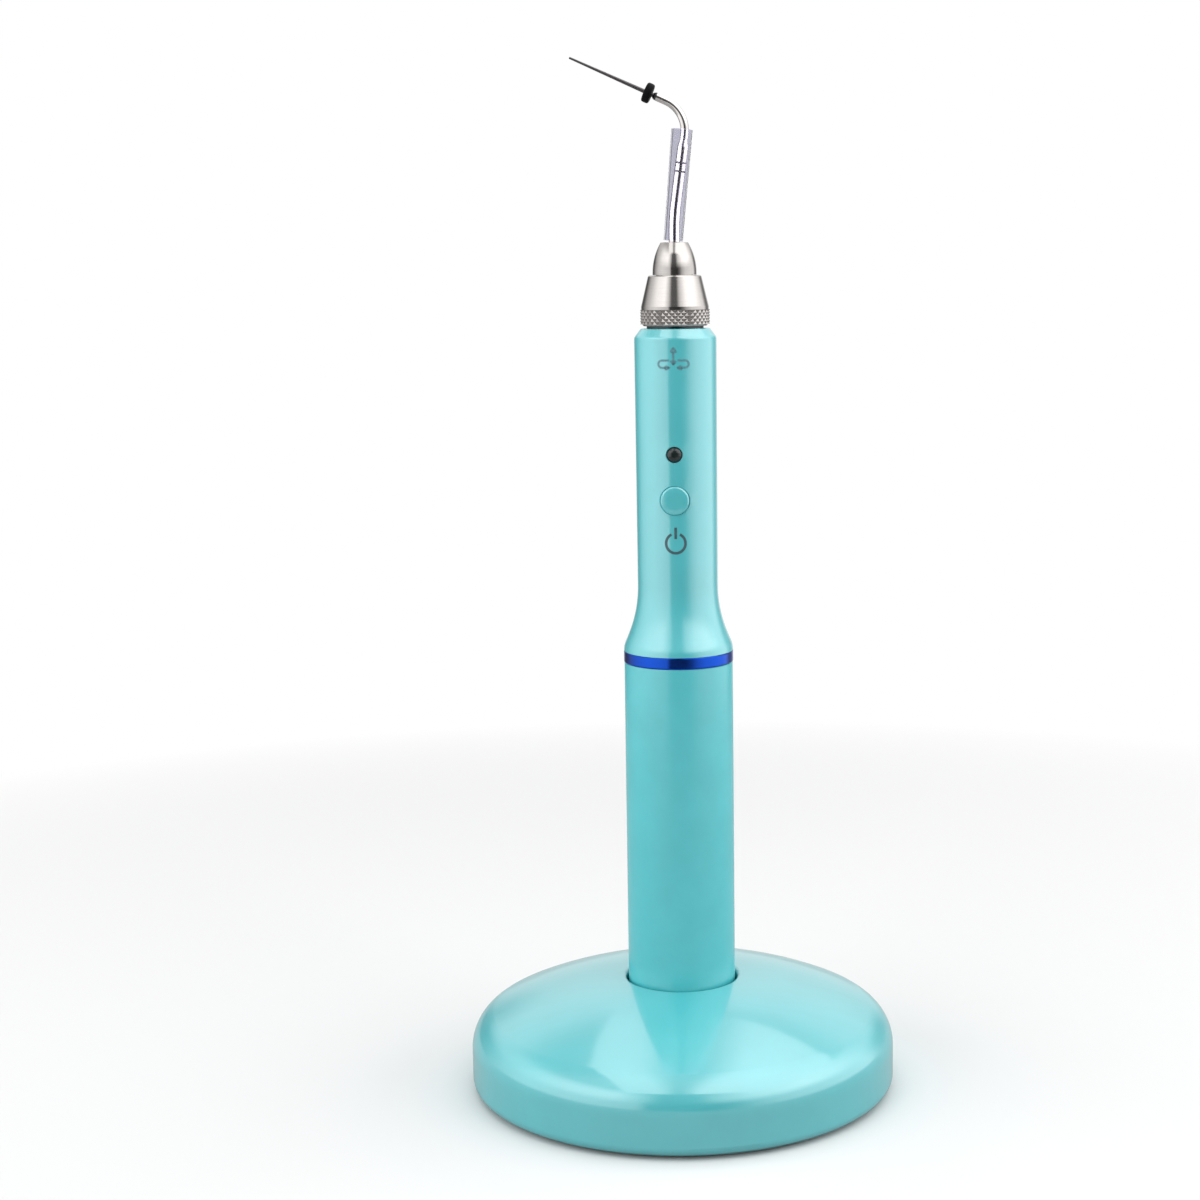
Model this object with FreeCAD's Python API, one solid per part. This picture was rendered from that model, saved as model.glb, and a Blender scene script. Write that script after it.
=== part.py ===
import FreeCAD, Part
import math
import os

# A cordless dental hand instrument that stands in a round charging base.
# A heated plugger tip is held in a steel chuck on a slim handle; the handle
# screws onto a battery barrel, and the barrel stands in the base's socket.
#
# Frame: millimetres, +Z up.  The origin is the middle of the base's underside,
# on the surface it stands on.  The button faces -Y and the tip bends to -X.

Vector = FreeCAD.Vector

# ---------------------------------------------------------------- charging base
BASE_RADIUS = 42.3            # straight side wall
BASE_EDGE_Z = 0.6             # lower rim of the shell, lifted off the table by the feet
BASE_EDGE_ROUND = 2.0
SHOULDER_Z = 13.26            # where the side wall and the outer slope would meet
SHOULDER_ROUND = 7.5
OUTER_SLOPE = 25.0            # degrees, dome next to the shoulder
INNER_SLOPE = 5.0             # degrees, dome next to the socket
DOME_ROUND = 75.0
CREST_Z = 22.2                # dome height at the socket's edge
BASE_WALL = 2.2
SOCKET_RADIUS = 11.05
SOCKET_LIP = 0.8
SKIRT_Z = 17.0                # the shell's socket skirt ends here and the cup begins
SKIRT_WALL = 2.15

PLATE_BOTTOM = 0.8
PLATE_TOP = 2.4
PLATE_GAP = 0.2               # round the plate, inside the shell
FOOT_RADIUS = 4.5
FOOT_SPACING = 29.0           # from the axis
FOOT_RECESS = 0.4
BOSS_SPACING = 33.5
BOSS_RADIUS = 2.8
BOSS_TOP = 15.8
SCREW_RADIUS = 1.15
SCREW_TOP = 9.5

CUP_FLOOR = 7.9               # the barrel stands just above this floor
CUP_FLOOR_THICK = 1.5
CUP_LOWER_RADIUS = 12.2
BOARD_TOP = 3.5               # charging board, on the base plate

# ----------------------------------------------------------------- charging pins
SIDE_PIN_X = 6.4
PIN_TOP = 7.95
PIN_RADIUS = 0.55
PIN_HEAD_RADIUS = 0.78
PIN_HEAD_Z = (5.2, 5.8)
PIN_BARREL_RADIUS = 1.15
PIN_BARREL_BORE = 0.85
PIN_BARREL_LIP = (6.4, 6.9)
PIN_SPRING_Z = 3.8

# -------------------------------------------------------------------- power inlet
JACK_Z = 6.0
JACK_FRONT = 39.6
JACK_LENGTH = 11.0
JACK_WIDTH = 9.0
JACK_HEIGHT = 7.0
JACK_BORE = 2.9
JACK_DEPTH = 9.0
JACK_WALL_HOLE = 3.3

# ------------------------------------------------------------------ battery barrel
BARREL_RADIUS = 10.67
BARREL_BORE = 9.45
BARREL_BOTTOM = 8.0
BARREL_FLOOR = 10.0
BARREL_TOP = 86.07
CONTACT_DEPTH = 0.8
CONTACT_DISC_RADIUS = 2.3
CONTACT_RING = (5.4, 7.4)
DISC_STEM_RADIUS = 0.8
RING_STEM_RADIUS = 0.6
CELL_BOTTOM = 14.0
CELL_TOP = 79.0
CELL_RADIUS = 9.0
CELL_WRAP_RADIUS = 9.2

# ------------------------------------------------------------------------ trim ring
RING_RADIUS = 10.76
RING_Z = (86.09, 88.34)

# --------------------------------------------------------------------------- handle
HANDLE_BOTTOM = 88.36
HANDLE_FOOT_RADIUS = 10.73
FLARE_ANGLE = 23.0            # degrees, the cone between foot and waist
FLARE_FOOT_Z = 89.26          # where the foot and the cone would meet
FLARE_FOOT_ROUND = 4.3
FLARE_WAIST_ROUND = 25.0
WAIST_RADIUS = 7.82
TOP_RADIUS = 7.95
TOP_CHAMFER_Z = 149.35
TOP_CHAMFER_RADIUS = 6.65
HANDLE_TOP = 151.05
HANDLE_BORE = 6.45
HOLE_EDGE = 0.15              # rounding round the holes in its front
HANDLE_FOOT_BORE = 8.35
NOSE_BORE = 5.2
NOSE_SHOULDER_Z = 146.5

COUPLING_RADIUS = 9.35
COUPLING_BOTTOM = 79.6
COUPLING_BORES = (7.3, 6.6)   # below and above the contact board
COUPLING_SPIGOT_RADIUS = 8.32
COUPLING_TOP = 91.9
SEAL_GROOVE_Z = (84.3, 85.2)
SEAL_GROOVE_RADIUS = 8.75
SEAL_SECTION = 0.32
CONTACT_BOARD_Z = (81.5, 82.5)

PCB_Z = (101.5, 134.5)
PCB_Y = (-3.0, -2.0)
PCB_HALF_WIDTH = 5.0
BOARD_SCREWS = ((4.5, 103.5), (-4.5, 103.5), (4.5, 129.5), (-4.5, 129.5))   # x, z
BOARD_SCREW_HOLE = 0.45
FRAME_RADII = (6.3, 5.4)      # the tray that carries the circuit board: outside, inside
FRAME_Z = (100.0, 137.0)
FRAME_OPEN_Y = -1.2           # the tray is open in front of this

BUTTON_Z = 118.43
BUTTON_RADIUS = 2.65
BUTTON_FRONT = -8.35
BUTTON_BACK = -5.2
BUTTON_HOLE = 2.78
SWITCH_FACE = -4.6
SWITCH_SIZE = 4.4
LED_Z = 127.23
LED_RADIUS = 1.5
LED_HOLE = 1.53
LED_APEX = -8.35

# ---------------------------------------------------------------------------- chuck
SPINDLE_RADIUS = 3.95
SPINDLE_BORE = 2.05
SPINDLE_Z = (140.2, 157.0)
SPINDLE_TOP_RADIUS = 4.4      # the part that the collar is pressed on
CLIP_Z = (140.7, 141.3)
CLIP_GROOVE_RADIUS = 3.5
DRAG_RING_Z = 147.75
DRAG_RING_SECTION = 0.3
BUSH_BOTTOM = 141.5
BUSH_SHOULDER_Z = 144.5
SOCKET_PIN_BOTTOM = 136.8     # the spring contact that the tip's pin enters
SOCKET_PIN_TOP = 156.9
SOCKET_PIN_RADIUS = 1.15
LEAD_HOLE = (4.9, -2.9)       # where the side heater lead passes the insulator: x, y
NECK_RADIUS = 5.5
NECK_Z = (151.08, 151.45)
COLLAR_BOTTOM = 151.5
COLLAR_BOTTOM_RADIUS = 6.15
KNURL_RADIUS = 6.72
KNURL_Z = (151.85, 154.6)
CONE_FOOT_RADIUS = 6.53
CONE_FOOT_Z = 155.3
COLLAR_TOP = 161.15
COLLAR_TOP_RADIUS = 5.1
NOSE_Z = (161.2, 167.35)
NOSE_RADIUS = 4.24
NOSE_TOP_RADIUS = 2.65
NOSE_OGIVE = 11.2             # radius of its curved side
NOSE_STEM_RADIUS = 3.6
TUBE_HOLE = 1.12
COLLET_SPACE = 1.95
COLLET_Z = (159.2, 166.65)

# ------------------------------------------------------------------------------ tip
TUBE_RADIUS = 1.05
TUBE_NECK_RADIUS = 0.78
TUBE_BORE = 0.5
CORE_RADIUS = 0.42
TUBE_BOTTOM = 158.9
PIN_BEAD_BOTTOM = 157.4
CONTACT_PIN_RADIUS = 0.7
CONTACT_PIN_BOTTOM = 144.8
LEAN_START_Z = 172.0
LEAN_ROUND = 40.0
BEND_CORNER = Vector(2.77, 0, 192.0)
BEND_ROUND = 6.0
TUBE_END = Vector(-3.08, 0, 194.65)
STEP_Z = 185.2                # the tube narrows here, just under the bend
STEP_LENGTH = 1.3
NEEDLE_LENGTH = 18.14
NEEDLE_ROOT_RADIUS = 0.42
NEEDLE_TIP_RADIUS = 0.2
NEEDLE_INSERT = 1.0           # held inside the tube's mouth

STOPPER_START = 0.9           # along the needle, from the tube's mouth
STOPPER_THICK = 1.73
STOPPER_RADIUS = 1.92
STOPPER_HOLE = 0.46

SLEEVE_FOOT = Vector(-0.24, 0, 167.65)
SLEEVE_LEAN = 5.2             # degrees from upright, towards +X
SLEEVE_LENGTH = 21.0
SLEEVE_WALL = 0.35
SLEEVE_RADII = (1.84, 2.05)   # bottom, top

UP = Vector(0, 0, 1)
FULL_TURN = 360
PARTS_FOLDER = "parts"


# ------------------------------------------------------------------- shape helpers
def rounded_edges(points, radii, closed):
    """Straight edges through the points, with a tangent arc at each corner."""
    count = len(points)
    starts, middles, ends = [], [], []
    for i, (point, radius) in enumerate(zip(points, radii)):
        if radius == 0:
            starts.append(point)
            middles.append(None)
            ends.append(point)
            continue
        back = (points[i - 1] - point).normalize()
        onward = (points[(i + 1) % count] - point).normalize()
        half_angle = back.getAngle(onward) / 2
        reach = radius / math.tan(half_angle)
        bisector = (back + onward).normalize()
        starts.append(point + back * reach)
        middles.append(point + bisector * (radius / math.sin(half_angle) - radius))
        ends.append(point + onward * reach)
    edges = []
    for i in range(count):
        if middles[i] is not None:
            edges.append(Part.Arc(starts[i], middles[i], ends[i]).toShape())
        if i == count - 1 and not closed:
            break
        following = starts[(i + 1) % count]
        if ends[i].distanceToPoint(following) > 1e-6:
            edges.append(Part.LineSegment(ends[i], following).toShape())
    return edges


def spin(corners):
    """Turn a closed outline about Z; a corner is (radius, z) or (radius, z, rounding)."""
    points = [Vector(corner[0], 0, corner[1]) for corner in corners]
    radii = [corner[2] if len(corner) == 3 else 0 for corner in corners]
    wire = Part.Wire(rounded_edges(points, radii, closed=True))
    return Part.Face(wire).revolve(Vector(0, 0, 0), UP, FULL_TURN)


def cylinder(radius, z_low, z_high, x=0.0, y=0.0):
    return Part.makeCylinder(radius, z_high - z_low, Vector(x, y, z_low))


def tube(outer, inner, z_low, z_high, x=0.0, y=0.0):
    return cylinder(outer, z_low, z_high, x, y).cut(cylinder(inner, z_low, z_high, x, y))


def front_cylinder(radius, y_low, y_high, z, x=0.0):
    """A cylinder along Y."""
    return Part.makeCylinder(radius, y_high - y_low, Vector(x, y_low, z), Vector(0, 1, 0))


def block(x_range, y_range, z_range):
    corner = Vector(x_range[0], y_range[0], z_range[0])
    return Part.makeBox(x_range[1] - x_range[0], y_range[1] - y_range[0],
                        z_range[1] - z_range[0], corner)


def ring_seal(centre_radius, section_radius, z):
    return Part.makeTorus(centre_radius, section_radius, Vector(0, 0, z))


def pipe(points, radii, section_radius):
    """A round bar along straight runs joined by tangent arcs."""
    path = Part.Wire(rounded_edges(points, radii, closed=False))
    heading = (points[1] - points[0]).normalize()
    section = Part.Wire(Part.makeCircle(section_radius, points[0], heading))
    return path.makePipeShell([section], True, False)


def coil_spring(coil_radius, wire_radius, z_low, z_high, turns, x=0.0):
    """An open coil whose wire lies between the two heights: short runs and tangent arcs."""
    corners_per_turn = 8
    steps = corners_per_turn * turns
    step_angle = 2 * math.pi / corners_per_turn
    corner_radius = coil_radius / math.cos(step_angle / 2)
    rise = (z_high - z_low - 2 * wire_radius) / steps
    points = []
    for i in range(steps + 1):
        across = corner_radius * math.cos(i * step_angle)
        along = corner_radius * math.sin(i * step_angle)
        points.append(Vector(x + across, along, z_low + wire_radius + i * rise))
    radii = [0] + [coil_radius * 0.9] * (steps - 1) + [0]
    return pipe(points, radii, wire_radius)


def lay_along(shape, foot, heading):
    """Turn a shape built upwards from the origin to another heading, and place it."""
    placed = shape.copy()
    placed.Placement = FreeCAD.Placement(foot, FreeCAD.Rotation(UP, heading))
    return placed


def at_angles(shape, angles):
    """Copies of a shape turned about Z."""
    copies = []
    for angle in angles:
        turned = shape.copy()
        turned.rotate(Vector(0, 0, 0), UP, angle)
        copies.append(turned)
    return copies


def without(shape, tools):
    for tool in tools:
        shape = shape.cut(tool)
    return shape


def joined(shape, additions):
    for addition in additions:
        shape = shape.fuse(addition)
    return shape.removeSplitter()


def slope_height(radius, offset):
    """Height of the dome's outer slope, moved inwards square to itself by offset."""
    rise = (BASE_RADIUS - radius) * math.tan(math.radians(OUTER_SLOPE))
    return SHOULDER_Z + rise - offset / math.cos(math.radians(OUTER_SLOPE))


def crown_height(radius, offset):
    """The same for the dome's flatter part next to the socket."""
    fall = (radius - SOCKET_RADIUS) * math.tan(math.radians(INNER_SLOPE))
    return CREST_Z - fall - offset / math.cos(math.radians(INNER_SLOPE))


def dome_corner(offset):
    """Where the two slopes meet: the corner that DOME_ROUND rounds off."""
    gap_here = slope_height(SOCKET_RADIUS, offset) - crown_height(SOCKET_RADIUS, offset)
    closing = math.tan(math.radians(OUTER_SLOPE)) - math.tan(math.radians(INNER_SLOPE))
    radius = SOCKET_RADIUS + gap_here / closing
    return radius, crown_height(radius, offset)


# ------------------------------------------------------------------ charging base
DIAGONALS = (45, 135, 225, 315)
QUARTERS = (0, 90, 180, 270)


def base_shell():
    outer_corner = dome_corner(0)
    inner_corner = dome_corner(BASE_WALL)
    inner_radius = BASE_RADIUS - BASE_WALL
    skirt_radius = SOCKET_RADIUS + SKIRT_WALL
    shell = spin([
        (SOCKET_RADIUS, SKIRT_Z),
        (SOCKET_RADIUS, CREST_Z, SOCKET_LIP),
        (outer_corner[0], outer_corner[1], DOME_ROUND),
        (BASE_RADIUS, SHOULDER_Z, SHOULDER_ROUND),
        (BASE_RADIUS, BASE_EDGE_Z, BASE_EDGE_ROUND),
        (inner_radius, BASE_EDGE_Z),
        (inner_radius, slope_height(inner_radius, BASE_WALL), SHOULDER_ROUND - BASE_WALL),
        (inner_corner[0], inner_corner[1], DOME_ROUND - 2 * BASE_WALL),
        (skirt_radius, crown_height(skirt_radius, BASE_WALL)),
        (skirt_radius, SKIRT_Z),
    ])
    boss = cylinder(BOSS_RADIUS, PLATE_TOP, BOSS_TOP, x=BOSS_SPACING)
    pilot = cylinder(SCREW_RADIUS + 0.03, PLATE_TOP, SCREW_TOP + 1, x=BOSS_SPACING)
    shell = joined(shell, at_angles(boss, DIAGONALS))
    shell = without(shell, at_angles(pilot, DIAGONALS))
    jack_opening = front_cylinder(JACK_WALL_HOLE, JACK_FRONT - 1, BASE_RADIUS + 1, JACK_Z)
    return shell.cut(jack_opening)


def socket_cup():
    wall_radius = SOCKET_RADIUS + SKIRT_WALL
    floor_bottom = CUP_FLOOR - CUP_FLOOR_THICK
    cup = spin([
        (SOCKET_RADIUS, SKIRT_Z - 0.02),
        (SOCKET_RADIUS, CUP_FLOOR),
        (0, CUP_FLOOR),
        (0, floor_bottom),
        (CUP_LOWER_RADIUS, floor_bottom),
        (CUP_LOWER_RADIUS, PLATE_TOP),
        (wall_radius, PLATE_TOP),
        (wall_radius, SKIRT_Z - 0.02),
    ])
    pin_hole_radius = PIN_BARREL_RADIUS + 0.03
    pin_holes = [cylinder(pin_hole_radius, floor_bottom - 1, CUP_FLOOR + 1, x=x)
                 for x in (0, SIDE_PIN_X)]
    lead_slot = block((-3, 3), (10, 15), (PLATE_TOP, 5.4))
    return without(cup, pin_holes + [lead_slot])


def countersink(clearance):
    """The space of a countersunk head, from the plate's underside upwards."""
    head_radius = 2.6 + clearance
    return spin([(0, PLATE_BOTTOM), (head_radius, PLATE_BOTTOM),
                 (SCREW_RADIUS + clearance, PLATE_BOTTOM + 1.4), (0, PLATE_BOTTOM + 1.4)])


def base_plate():
    plate = cylinder(BASE_RADIUS - BASE_WALL - PLATE_GAP, PLATE_BOTTOM, PLATE_TOP)
    hole = cylinder(SCREW_RADIUS + 0.1, PLATE_BOTTOM, PLATE_TOP)
    screw_space = hole.fuse(countersink(0.1))
    screw_space.translate(Vector(BOSS_SPACING, 0, 0))
    recess = cylinder(FOOT_RADIUS + 0.05, PLATE_BOTTOM, PLATE_BOTTOM + FOOT_RECESS, x=FOOT_SPACING)
    return without(plate, at_angles(screw_space, DIAGONALS) + at_angles(recess, QUARTERS))


def base_screws():
    shank = cylinder(SCREW_RADIUS, PLATE_BOTTOM + 1, SCREW_TOP)
    screw = joined(countersink(0), [shank])
    reach, half_width, depth = 1.6, 0.3, (0, PLATE_BOTTOM + 0.6)
    slots = [block((-reach, reach), (-half_width, half_width), depth),
             block((-half_width, half_width), (-reach, reach), depth)]
    screw = without(screw, slots)
    screw.translate(Vector(BOSS_SPACING, 0, 0))
    return Part.makeCompound(at_angles(screw, DIAGONALS))


def rubber_feet():
    foot_top = PLATE_BOTTOM + FOOT_RECESS
    foot = spin([(0, 0), (FOOT_RADIUS, 0, 0.4), (FOOT_RADIUS, foot_top), (0, foot_top)])
    foot.translate(Vector(FOOT_SPACING, 0, 0))
    return Part.makeCompound(at_angles(foot, QUARTERS))


def ballast_weight():
    """A steel ring round the cup, open at the back for the inlet and its leads."""
    ring = tube(28.0, 17.0, PLATE_TOP + 0.1, 8.5)
    return ring.cut(block((-9, 9), (0, 40), (0, 20)))


def charge_board():
    return cylinder(CUP_LOWER_RADIUS - 0.2, PLATE_TOP, BOARD_TOP)


def charge_board_parts():
    chip = block((-6.5, -2.5), (-5.5, -1.5), (BOARD_TOP, BOARD_TOP + 1.0))
    inductor = cylinder(2.4, BOARD_TOP, BOARD_TOP + 2.2, x=-2.0, y=6.6)
    capacitor = block((1.6, 4.8), (-8.0, -6.2), (BOARD_TOP, BOARD_TOP + 1.5))
    diode = block((2.4, 6.6), (3.2, 5.6), (BOARD_TOP, BOARD_TOP + 1.4))
    return Part.makeCompound([chip, inductor, capacitor, diode])


def dc_jack():
    half_width = JACK_WIDTH / 2
    half_height = JACK_HEIGHT / 2
    body = block((-half_width, half_width), (JACK_FRONT - JACK_LENGTH, JACK_FRONT),
                 (JACK_Z - half_height, JACK_Z + half_height))
    body = body.makeFillet(0.5, [edge for edge in body.Edges if abs(edge.tangentAt(0).y) > 0.9])
    mouth = front_cylinder(JACK_BORE, JACK_FRONT - JACK_DEPTH, JACK_FRONT + 1, JACK_Z)
    return body.cut(mouth)


def dc_jack_pin():
    tip_radius = 1.0
    back = JACK_FRONT - JACK_DEPTH
    pin = front_cylinder(tip_radius, back, JACK_FRONT - 1.0, JACK_Z)
    front_edge = [edge for edge in pin.Edges if edge.BoundBox.YMin > JACK_FRONT - 1.5]
    return pin.makeFillet(0.4, front_edge)


def jack_leads():
    """Two leads from the back of the inlet to the charging board."""
    lead_radius = 0.5
    back = JACK_FRONT - JACK_LENGTH
    leads = []
    for side in (-1, 1):
        route = [Vector(side * 2.2, back, 4.6), Vector(side * 2.2, back - 5.5, 4.6),
                 Vector(side * 1.4, 16.5, 4.2), Vector(side * 1.4, 9.6, 4.2)]
        leads.append(pipe(route, [0, 6, 6, 0], lead_radius))
    return Part.makeCompound(leads)


# ------------------------------------------------------------------ charging pins
def pin_barrels():
    barrels = []
    for x in (0, SIDE_PIN_X):
        barrel = tube(PIN_BARREL_RADIUS, PIN_BARREL_BORE, BOARD_TOP, PIN_BARREL_LIP[1], x=x)
        lip = tube(PIN_BARREL_RADIUS, PIN_RADIUS + 0.07, PIN_BARREL_LIP[0], PIN_BARREL_LIP[1], x=x)
        base = cylinder(PIN_BARREL_RADIUS, BOARD_TOP, PIN_SPRING_Z, x=x)
        barrels.append(joined(barrel, [lip, base]))
    return Part.makeCompound(barrels)


def charge_pin(x):
    pin = spin([(0, PIN_HEAD_Z[0]), (PIN_HEAD_RADIUS, PIN_HEAD_Z[0]),
                (PIN_HEAD_RADIUS, PIN_HEAD_Z[1]), (PIN_RADIUS, PIN_HEAD_Z[1]),
                (PIN_RADIUS, PIN_TOP, 0.4), (0, PIN_TOP)])
    pin.translate(Vector(x, 0, 0))
    return pin


def charge_spring(x):
    return coil_spring(0.6, 0.12, PIN_SPRING_Z, PIN_HEAD_Z[0], turns=3, x=x)


# ----------------------------------------------------------------- battery barrel
def contact_stem(radius, x):
    """The stem that takes a charging contact through the barrel's floor."""
    return cylinder(radius, BARREL_BOTTOM, BARREL_FLOOR, x=x)


def barrel_shell():
    shell = spin([
        (0, BARREL_BOTTOM), (BARREL_RADIUS, BARREL_BOTTOM, 0.8),
        (BARREL_RADIUS, BARREL_TOP, 0.15), (BARREL_BORE, BARREL_TOP),
        (BARREL_BORE, BARREL_FLOOR), (0, BARREL_FLOOR),
    ])
    recess_top = BARREL_BOTTOM + CONTACT_DEPTH
    disc_recess = cylinder(CONTACT_DISC_RADIUS + 0.02, BARREL_BOTTOM, recess_top)
    ring_recess = tube(CONTACT_RING[1] + 0.02, CONTACT_RING[0] - 0.02, BARREL_BOTTOM, recess_top)
    stems = [contact_stem(DISC_STEM_RADIUS + 0.02, 0), contact_stem(RING_STEM_RADIUS + 0.02, SIDE_PIN_X)]
    return without(shell, [disc_recess, ring_recess] + stems)


def contact_disc():
    disc = cylinder(CONTACT_DISC_RADIUS, BARREL_BOTTOM, BARREL_BOTTOM + CONTACT_DEPTH)
    return joined(disc, [contact_stem(DISC_STEM_RADIUS, 0)])


def contact_ring():
    ring = tube(CONTACT_RING[1], CONTACT_RING[0], BARREL_BOTTOM, BARREL_BOTTOM + CONTACT_DEPTH)
    return joined(ring, [contact_stem(RING_STEM_RADIUS, SIDE_PIN_X)])


def battery_board():
    return cylinder(BARREL_BORE - 0.15, BARREL_FLOOR, BARREL_FLOOR + 0.8)


def battery_spring():
    return coil_spring(4.5, 0.4, BARREL_FLOOR + 0.8, CELL_BOTTOM, turns=2)


def battery_cell():
    can_top = CELL_TOP - 1.0
    cap_radius = 3.0
    return spin([(0, CELL_BOTTOM), (CELL_RADIUS, CELL_BOTTOM, 0.6), (CELL_RADIUS, can_top, 0.6),
                 (cap_radius, can_top), (cap_radius, CELL_TOP, 0.3), (0, CELL_TOP)])


def cell_wrap():
    can_top = CELL_TOP - 1.0
    lip_radius = 6.5
    inner = CELL_RADIUS + 0.02
    return spin([(inner, CELL_BOTTOM), (CELL_WRAP_RADIUS, CELL_BOTTOM),
                 (CELL_WRAP_RADIUS, can_top + 0.2), (lip_radius, can_top + 0.2),
                 (lip_radius, can_top + 0.02), (inner, can_top + 0.02)])


def trim_ring():
    edge = 0.22
    return spin([(BARREL_BORE, RING_Z[0]), (RING_RADIUS, RING_Z[0], edge),
                 (RING_RADIUS, RING_Z[1], edge), (BARREL_BORE, RING_Z[1])])


# ------------------------------------------------------------------------- handle
def handle_shell():
    flare = math.tan(math.radians(FLARE_ANGLE))
    waist_corner_z = FLARE_FOOT_Z + (HANDLE_FOOT_RADIUS - WAIST_RADIUS) / flare
    shell = spin([
        (HANDLE_FOOT_BORE, HANDLE_BOTTOM),
        (HANDLE_FOOT_RADIUS, HANDLE_BOTTOM),
        (HANDLE_FOOT_RADIUS, FLARE_FOOT_Z, FLARE_FOOT_ROUND),
        (WAIST_RADIUS, waist_corner_z, FLARE_WAIST_ROUND),
        (TOP_RADIUS, TOP_CHAMFER_Z, 1.2),
        (TOP_CHAMFER_RADIUS, HANDLE_TOP, 0.3),
        (NOSE_BORE, HANDLE_TOP),
        (NOSE_BORE, NOSE_SHOULDER_Z),
        (HANDLE_BORE, NOSE_SHOULDER_Z),
        (HANDLE_BORE, 99.5),
        (HANDLE_FOOT_BORE, 92.0),
    ])
    front, inside = -TOP_RADIUS - 1, -HANDLE_BORE + 1
    button_hole = front_cylinder(BUTTON_HOLE, front, inside, BUTTON_Z)
    led_hole = front_cylinder(LED_HOLE, front, inside, LED_Z)
    shell = without(shell, [button_hole, led_hole])
    rims = [edge for edge in shell.Edges if is_front_rim(edge)]
    return shell.makeFillet(HOLE_EDGE, rims)


def is_front_rim(edge):
    """True for the outer edge of the button's hole or the lens's hole."""
    box = edge.BoundBox
    height = (box.ZMin + box.ZMax) / 2
    near_a_hole = min(abs(height - BUTTON_Z), abs(height - LED_Z)) < 0.1
    return near_a_hole and box.YMax < -HANDLE_BORE - 0.3 and box.XLength > LED_RADIUS


def coupling_sleeve():
    """The sleeve that carries the screw thread; the thread itself is left plain."""
    wide, narrow = COUPLING_BORES
    ledge = CONTACT_BOARD_Z[1] + 0.02
    return spin([
        (wide, COUPLING_BOTTOM), (COUPLING_RADIUS, COUPLING_BOTTOM, 0.4),
        (COUPLING_RADIUS, SEAL_GROOVE_Z[0]), (SEAL_GROOVE_RADIUS, SEAL_GROOVE_Z[0]),
        (SEAL_GROOVE_RADIUS, SEAL_GROOVE_Z[1]), (COUPLING_RADIUS, SEAL_GROOVE_Z[1]),
        (COUPLING_RADIUS, RING_Z[1]), (COUPLING_SPIGOT_RADIUS, RING_Z[1]),
        (COUPLING_SPIGOT_RADIUS, COUPLING_TOP), (narrow, COUPLING_TOP), (narrow, ledge), (wide, ledge),
    ])


def coupling_seal():
    groove_middle = (SEAL_GROOVE_Z[0] + SEAL_GROOVE_Z[1]) / 2
    return ring_seal(SEAL_GROOVE_RADIUS + SEAL_SECTION + 0.01, SEAL_SECTION, groove_middle)


def contact_board():
    return cylinder(COUPLING_BORES[0] - 0.1, CONTACT_BOARD_Z[0], CONTACT_BOARD_Z[1])


def plus_contact():
    button_radius, foot_radius = 2.4, 3.4
    button_bottom = CELL_TOP + 0.05
    board_bottom = CONTACT_BOARD_Z[0]
    foot_bottom = board_bottom - 0.6
    return spin([(0, button_bottom), (button_radius, button_bottom, 0.6), (button_radius, foot_bottom),
                 (foot_radius, foot_bottom), (foot_radius, board_bottom), (0, board_bottom)])


def board_screw_holes():
    return [front_cylinder(BOARD_SCREW_HOLE, PCB_Y[0] - 1, 0, z, x) for x, z in BOARD_SCREWS]


def inner_frame():
    """A half-round tray behind the circuit board, with a ledge along each edge."""
    outer, inner = FRAME_RADII
    bottom, top = FRAME_Z
    tray = tube(outer, inner, bottom, top)
    tray = tray.cut(block((-outer, outer), (-outer, FRAME_OPEN_Y), FRAME_Z))
    ledge_z = (bottom, PCB_Z[1])
    ledge_y = (PCB_Y[1] + 0.02, FRAME_OPEN_Y + 0.3)
    ledge_inner = PCB_HALF_WIDTH - 1.0
    skin = cylinder(outer, ledge_z[0], ledge_z[1])
    ledges = [block((ledge_inner, outer), ledge_y, ledge_z).common(skin),
              block((-outer, -ledge_inner), ledge_y, ledge_z).common(skin)]
    return without(joined(tray, ledges), board_screw_holes())


def main_board():
    board = block((-PCB_HALF_WIDTH, PCB_HALF_WIDTH), PCB_Y, PCB_Z)
    return without(board, board_screw_holes())


def board_screws():
    screws = []
    for x, z in BOARD_SCREWS:
        head = front_cylinder(0.75, PCB_Y[0] - 0.4, PCB_Y[0], z, x)
        shank = front_cylinder(BOARD_SCREW_HOLE - 0.03, PCB_Y[0] - 0.1, FRAME_OPEN_Y + 0.1, z, x)
        screws.append(joined(head, [shank]))
    return Part.makeCompound(screws)


def board_chips():
    front, back = PCB_Y
    controller = block((-2.2, 2.2), (front - 1.0, front), (112.0, 115.4))
    driver = block((-2.5, 2.5), (back, back + 1.2), (121.0, 126.0))
    regulator = block((-2.0, 2.0), (back, back + 1.4), (109.0, 112.5))
    crystal = block((-1.6, 1.6), (front - 0.9, front), (130.6, 133.2))
    inductor = Part.makeCylinder(2.2, 1.6, Vector(0, back, 116.8), Vector(0, 1, 0))
    return Part.makeCompound([controller, driver, regulator, crystal, inductor])


def buzzer():
    body = front_cylinder(2.3, PCB_Y[0] - 1.8, PCB_Y[0], 107.0)
    return body.cut(front_cylinder(0.5, PCB_Y[0] - 2, PCB_Y[0] - 1.2, 107.0))


def tact_switch():
    half = SWITCH_SIZE / 2
    body = block((-half, half), (SWITCH_FACE, PCB_Y[0]), (BUTTON_Z - half, BUTTON_Z + half))
    return body.cut(front_cylinder(1.1, SWITCH_FACE - 1, SWITCH_FACE + 1.1, BUTTON_Z))


def switch_plunger():
    return front_cylinder(1.0, BUTTON_BACK, SWITCH_FACE + 0.4, BUTTON_Z)


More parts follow.
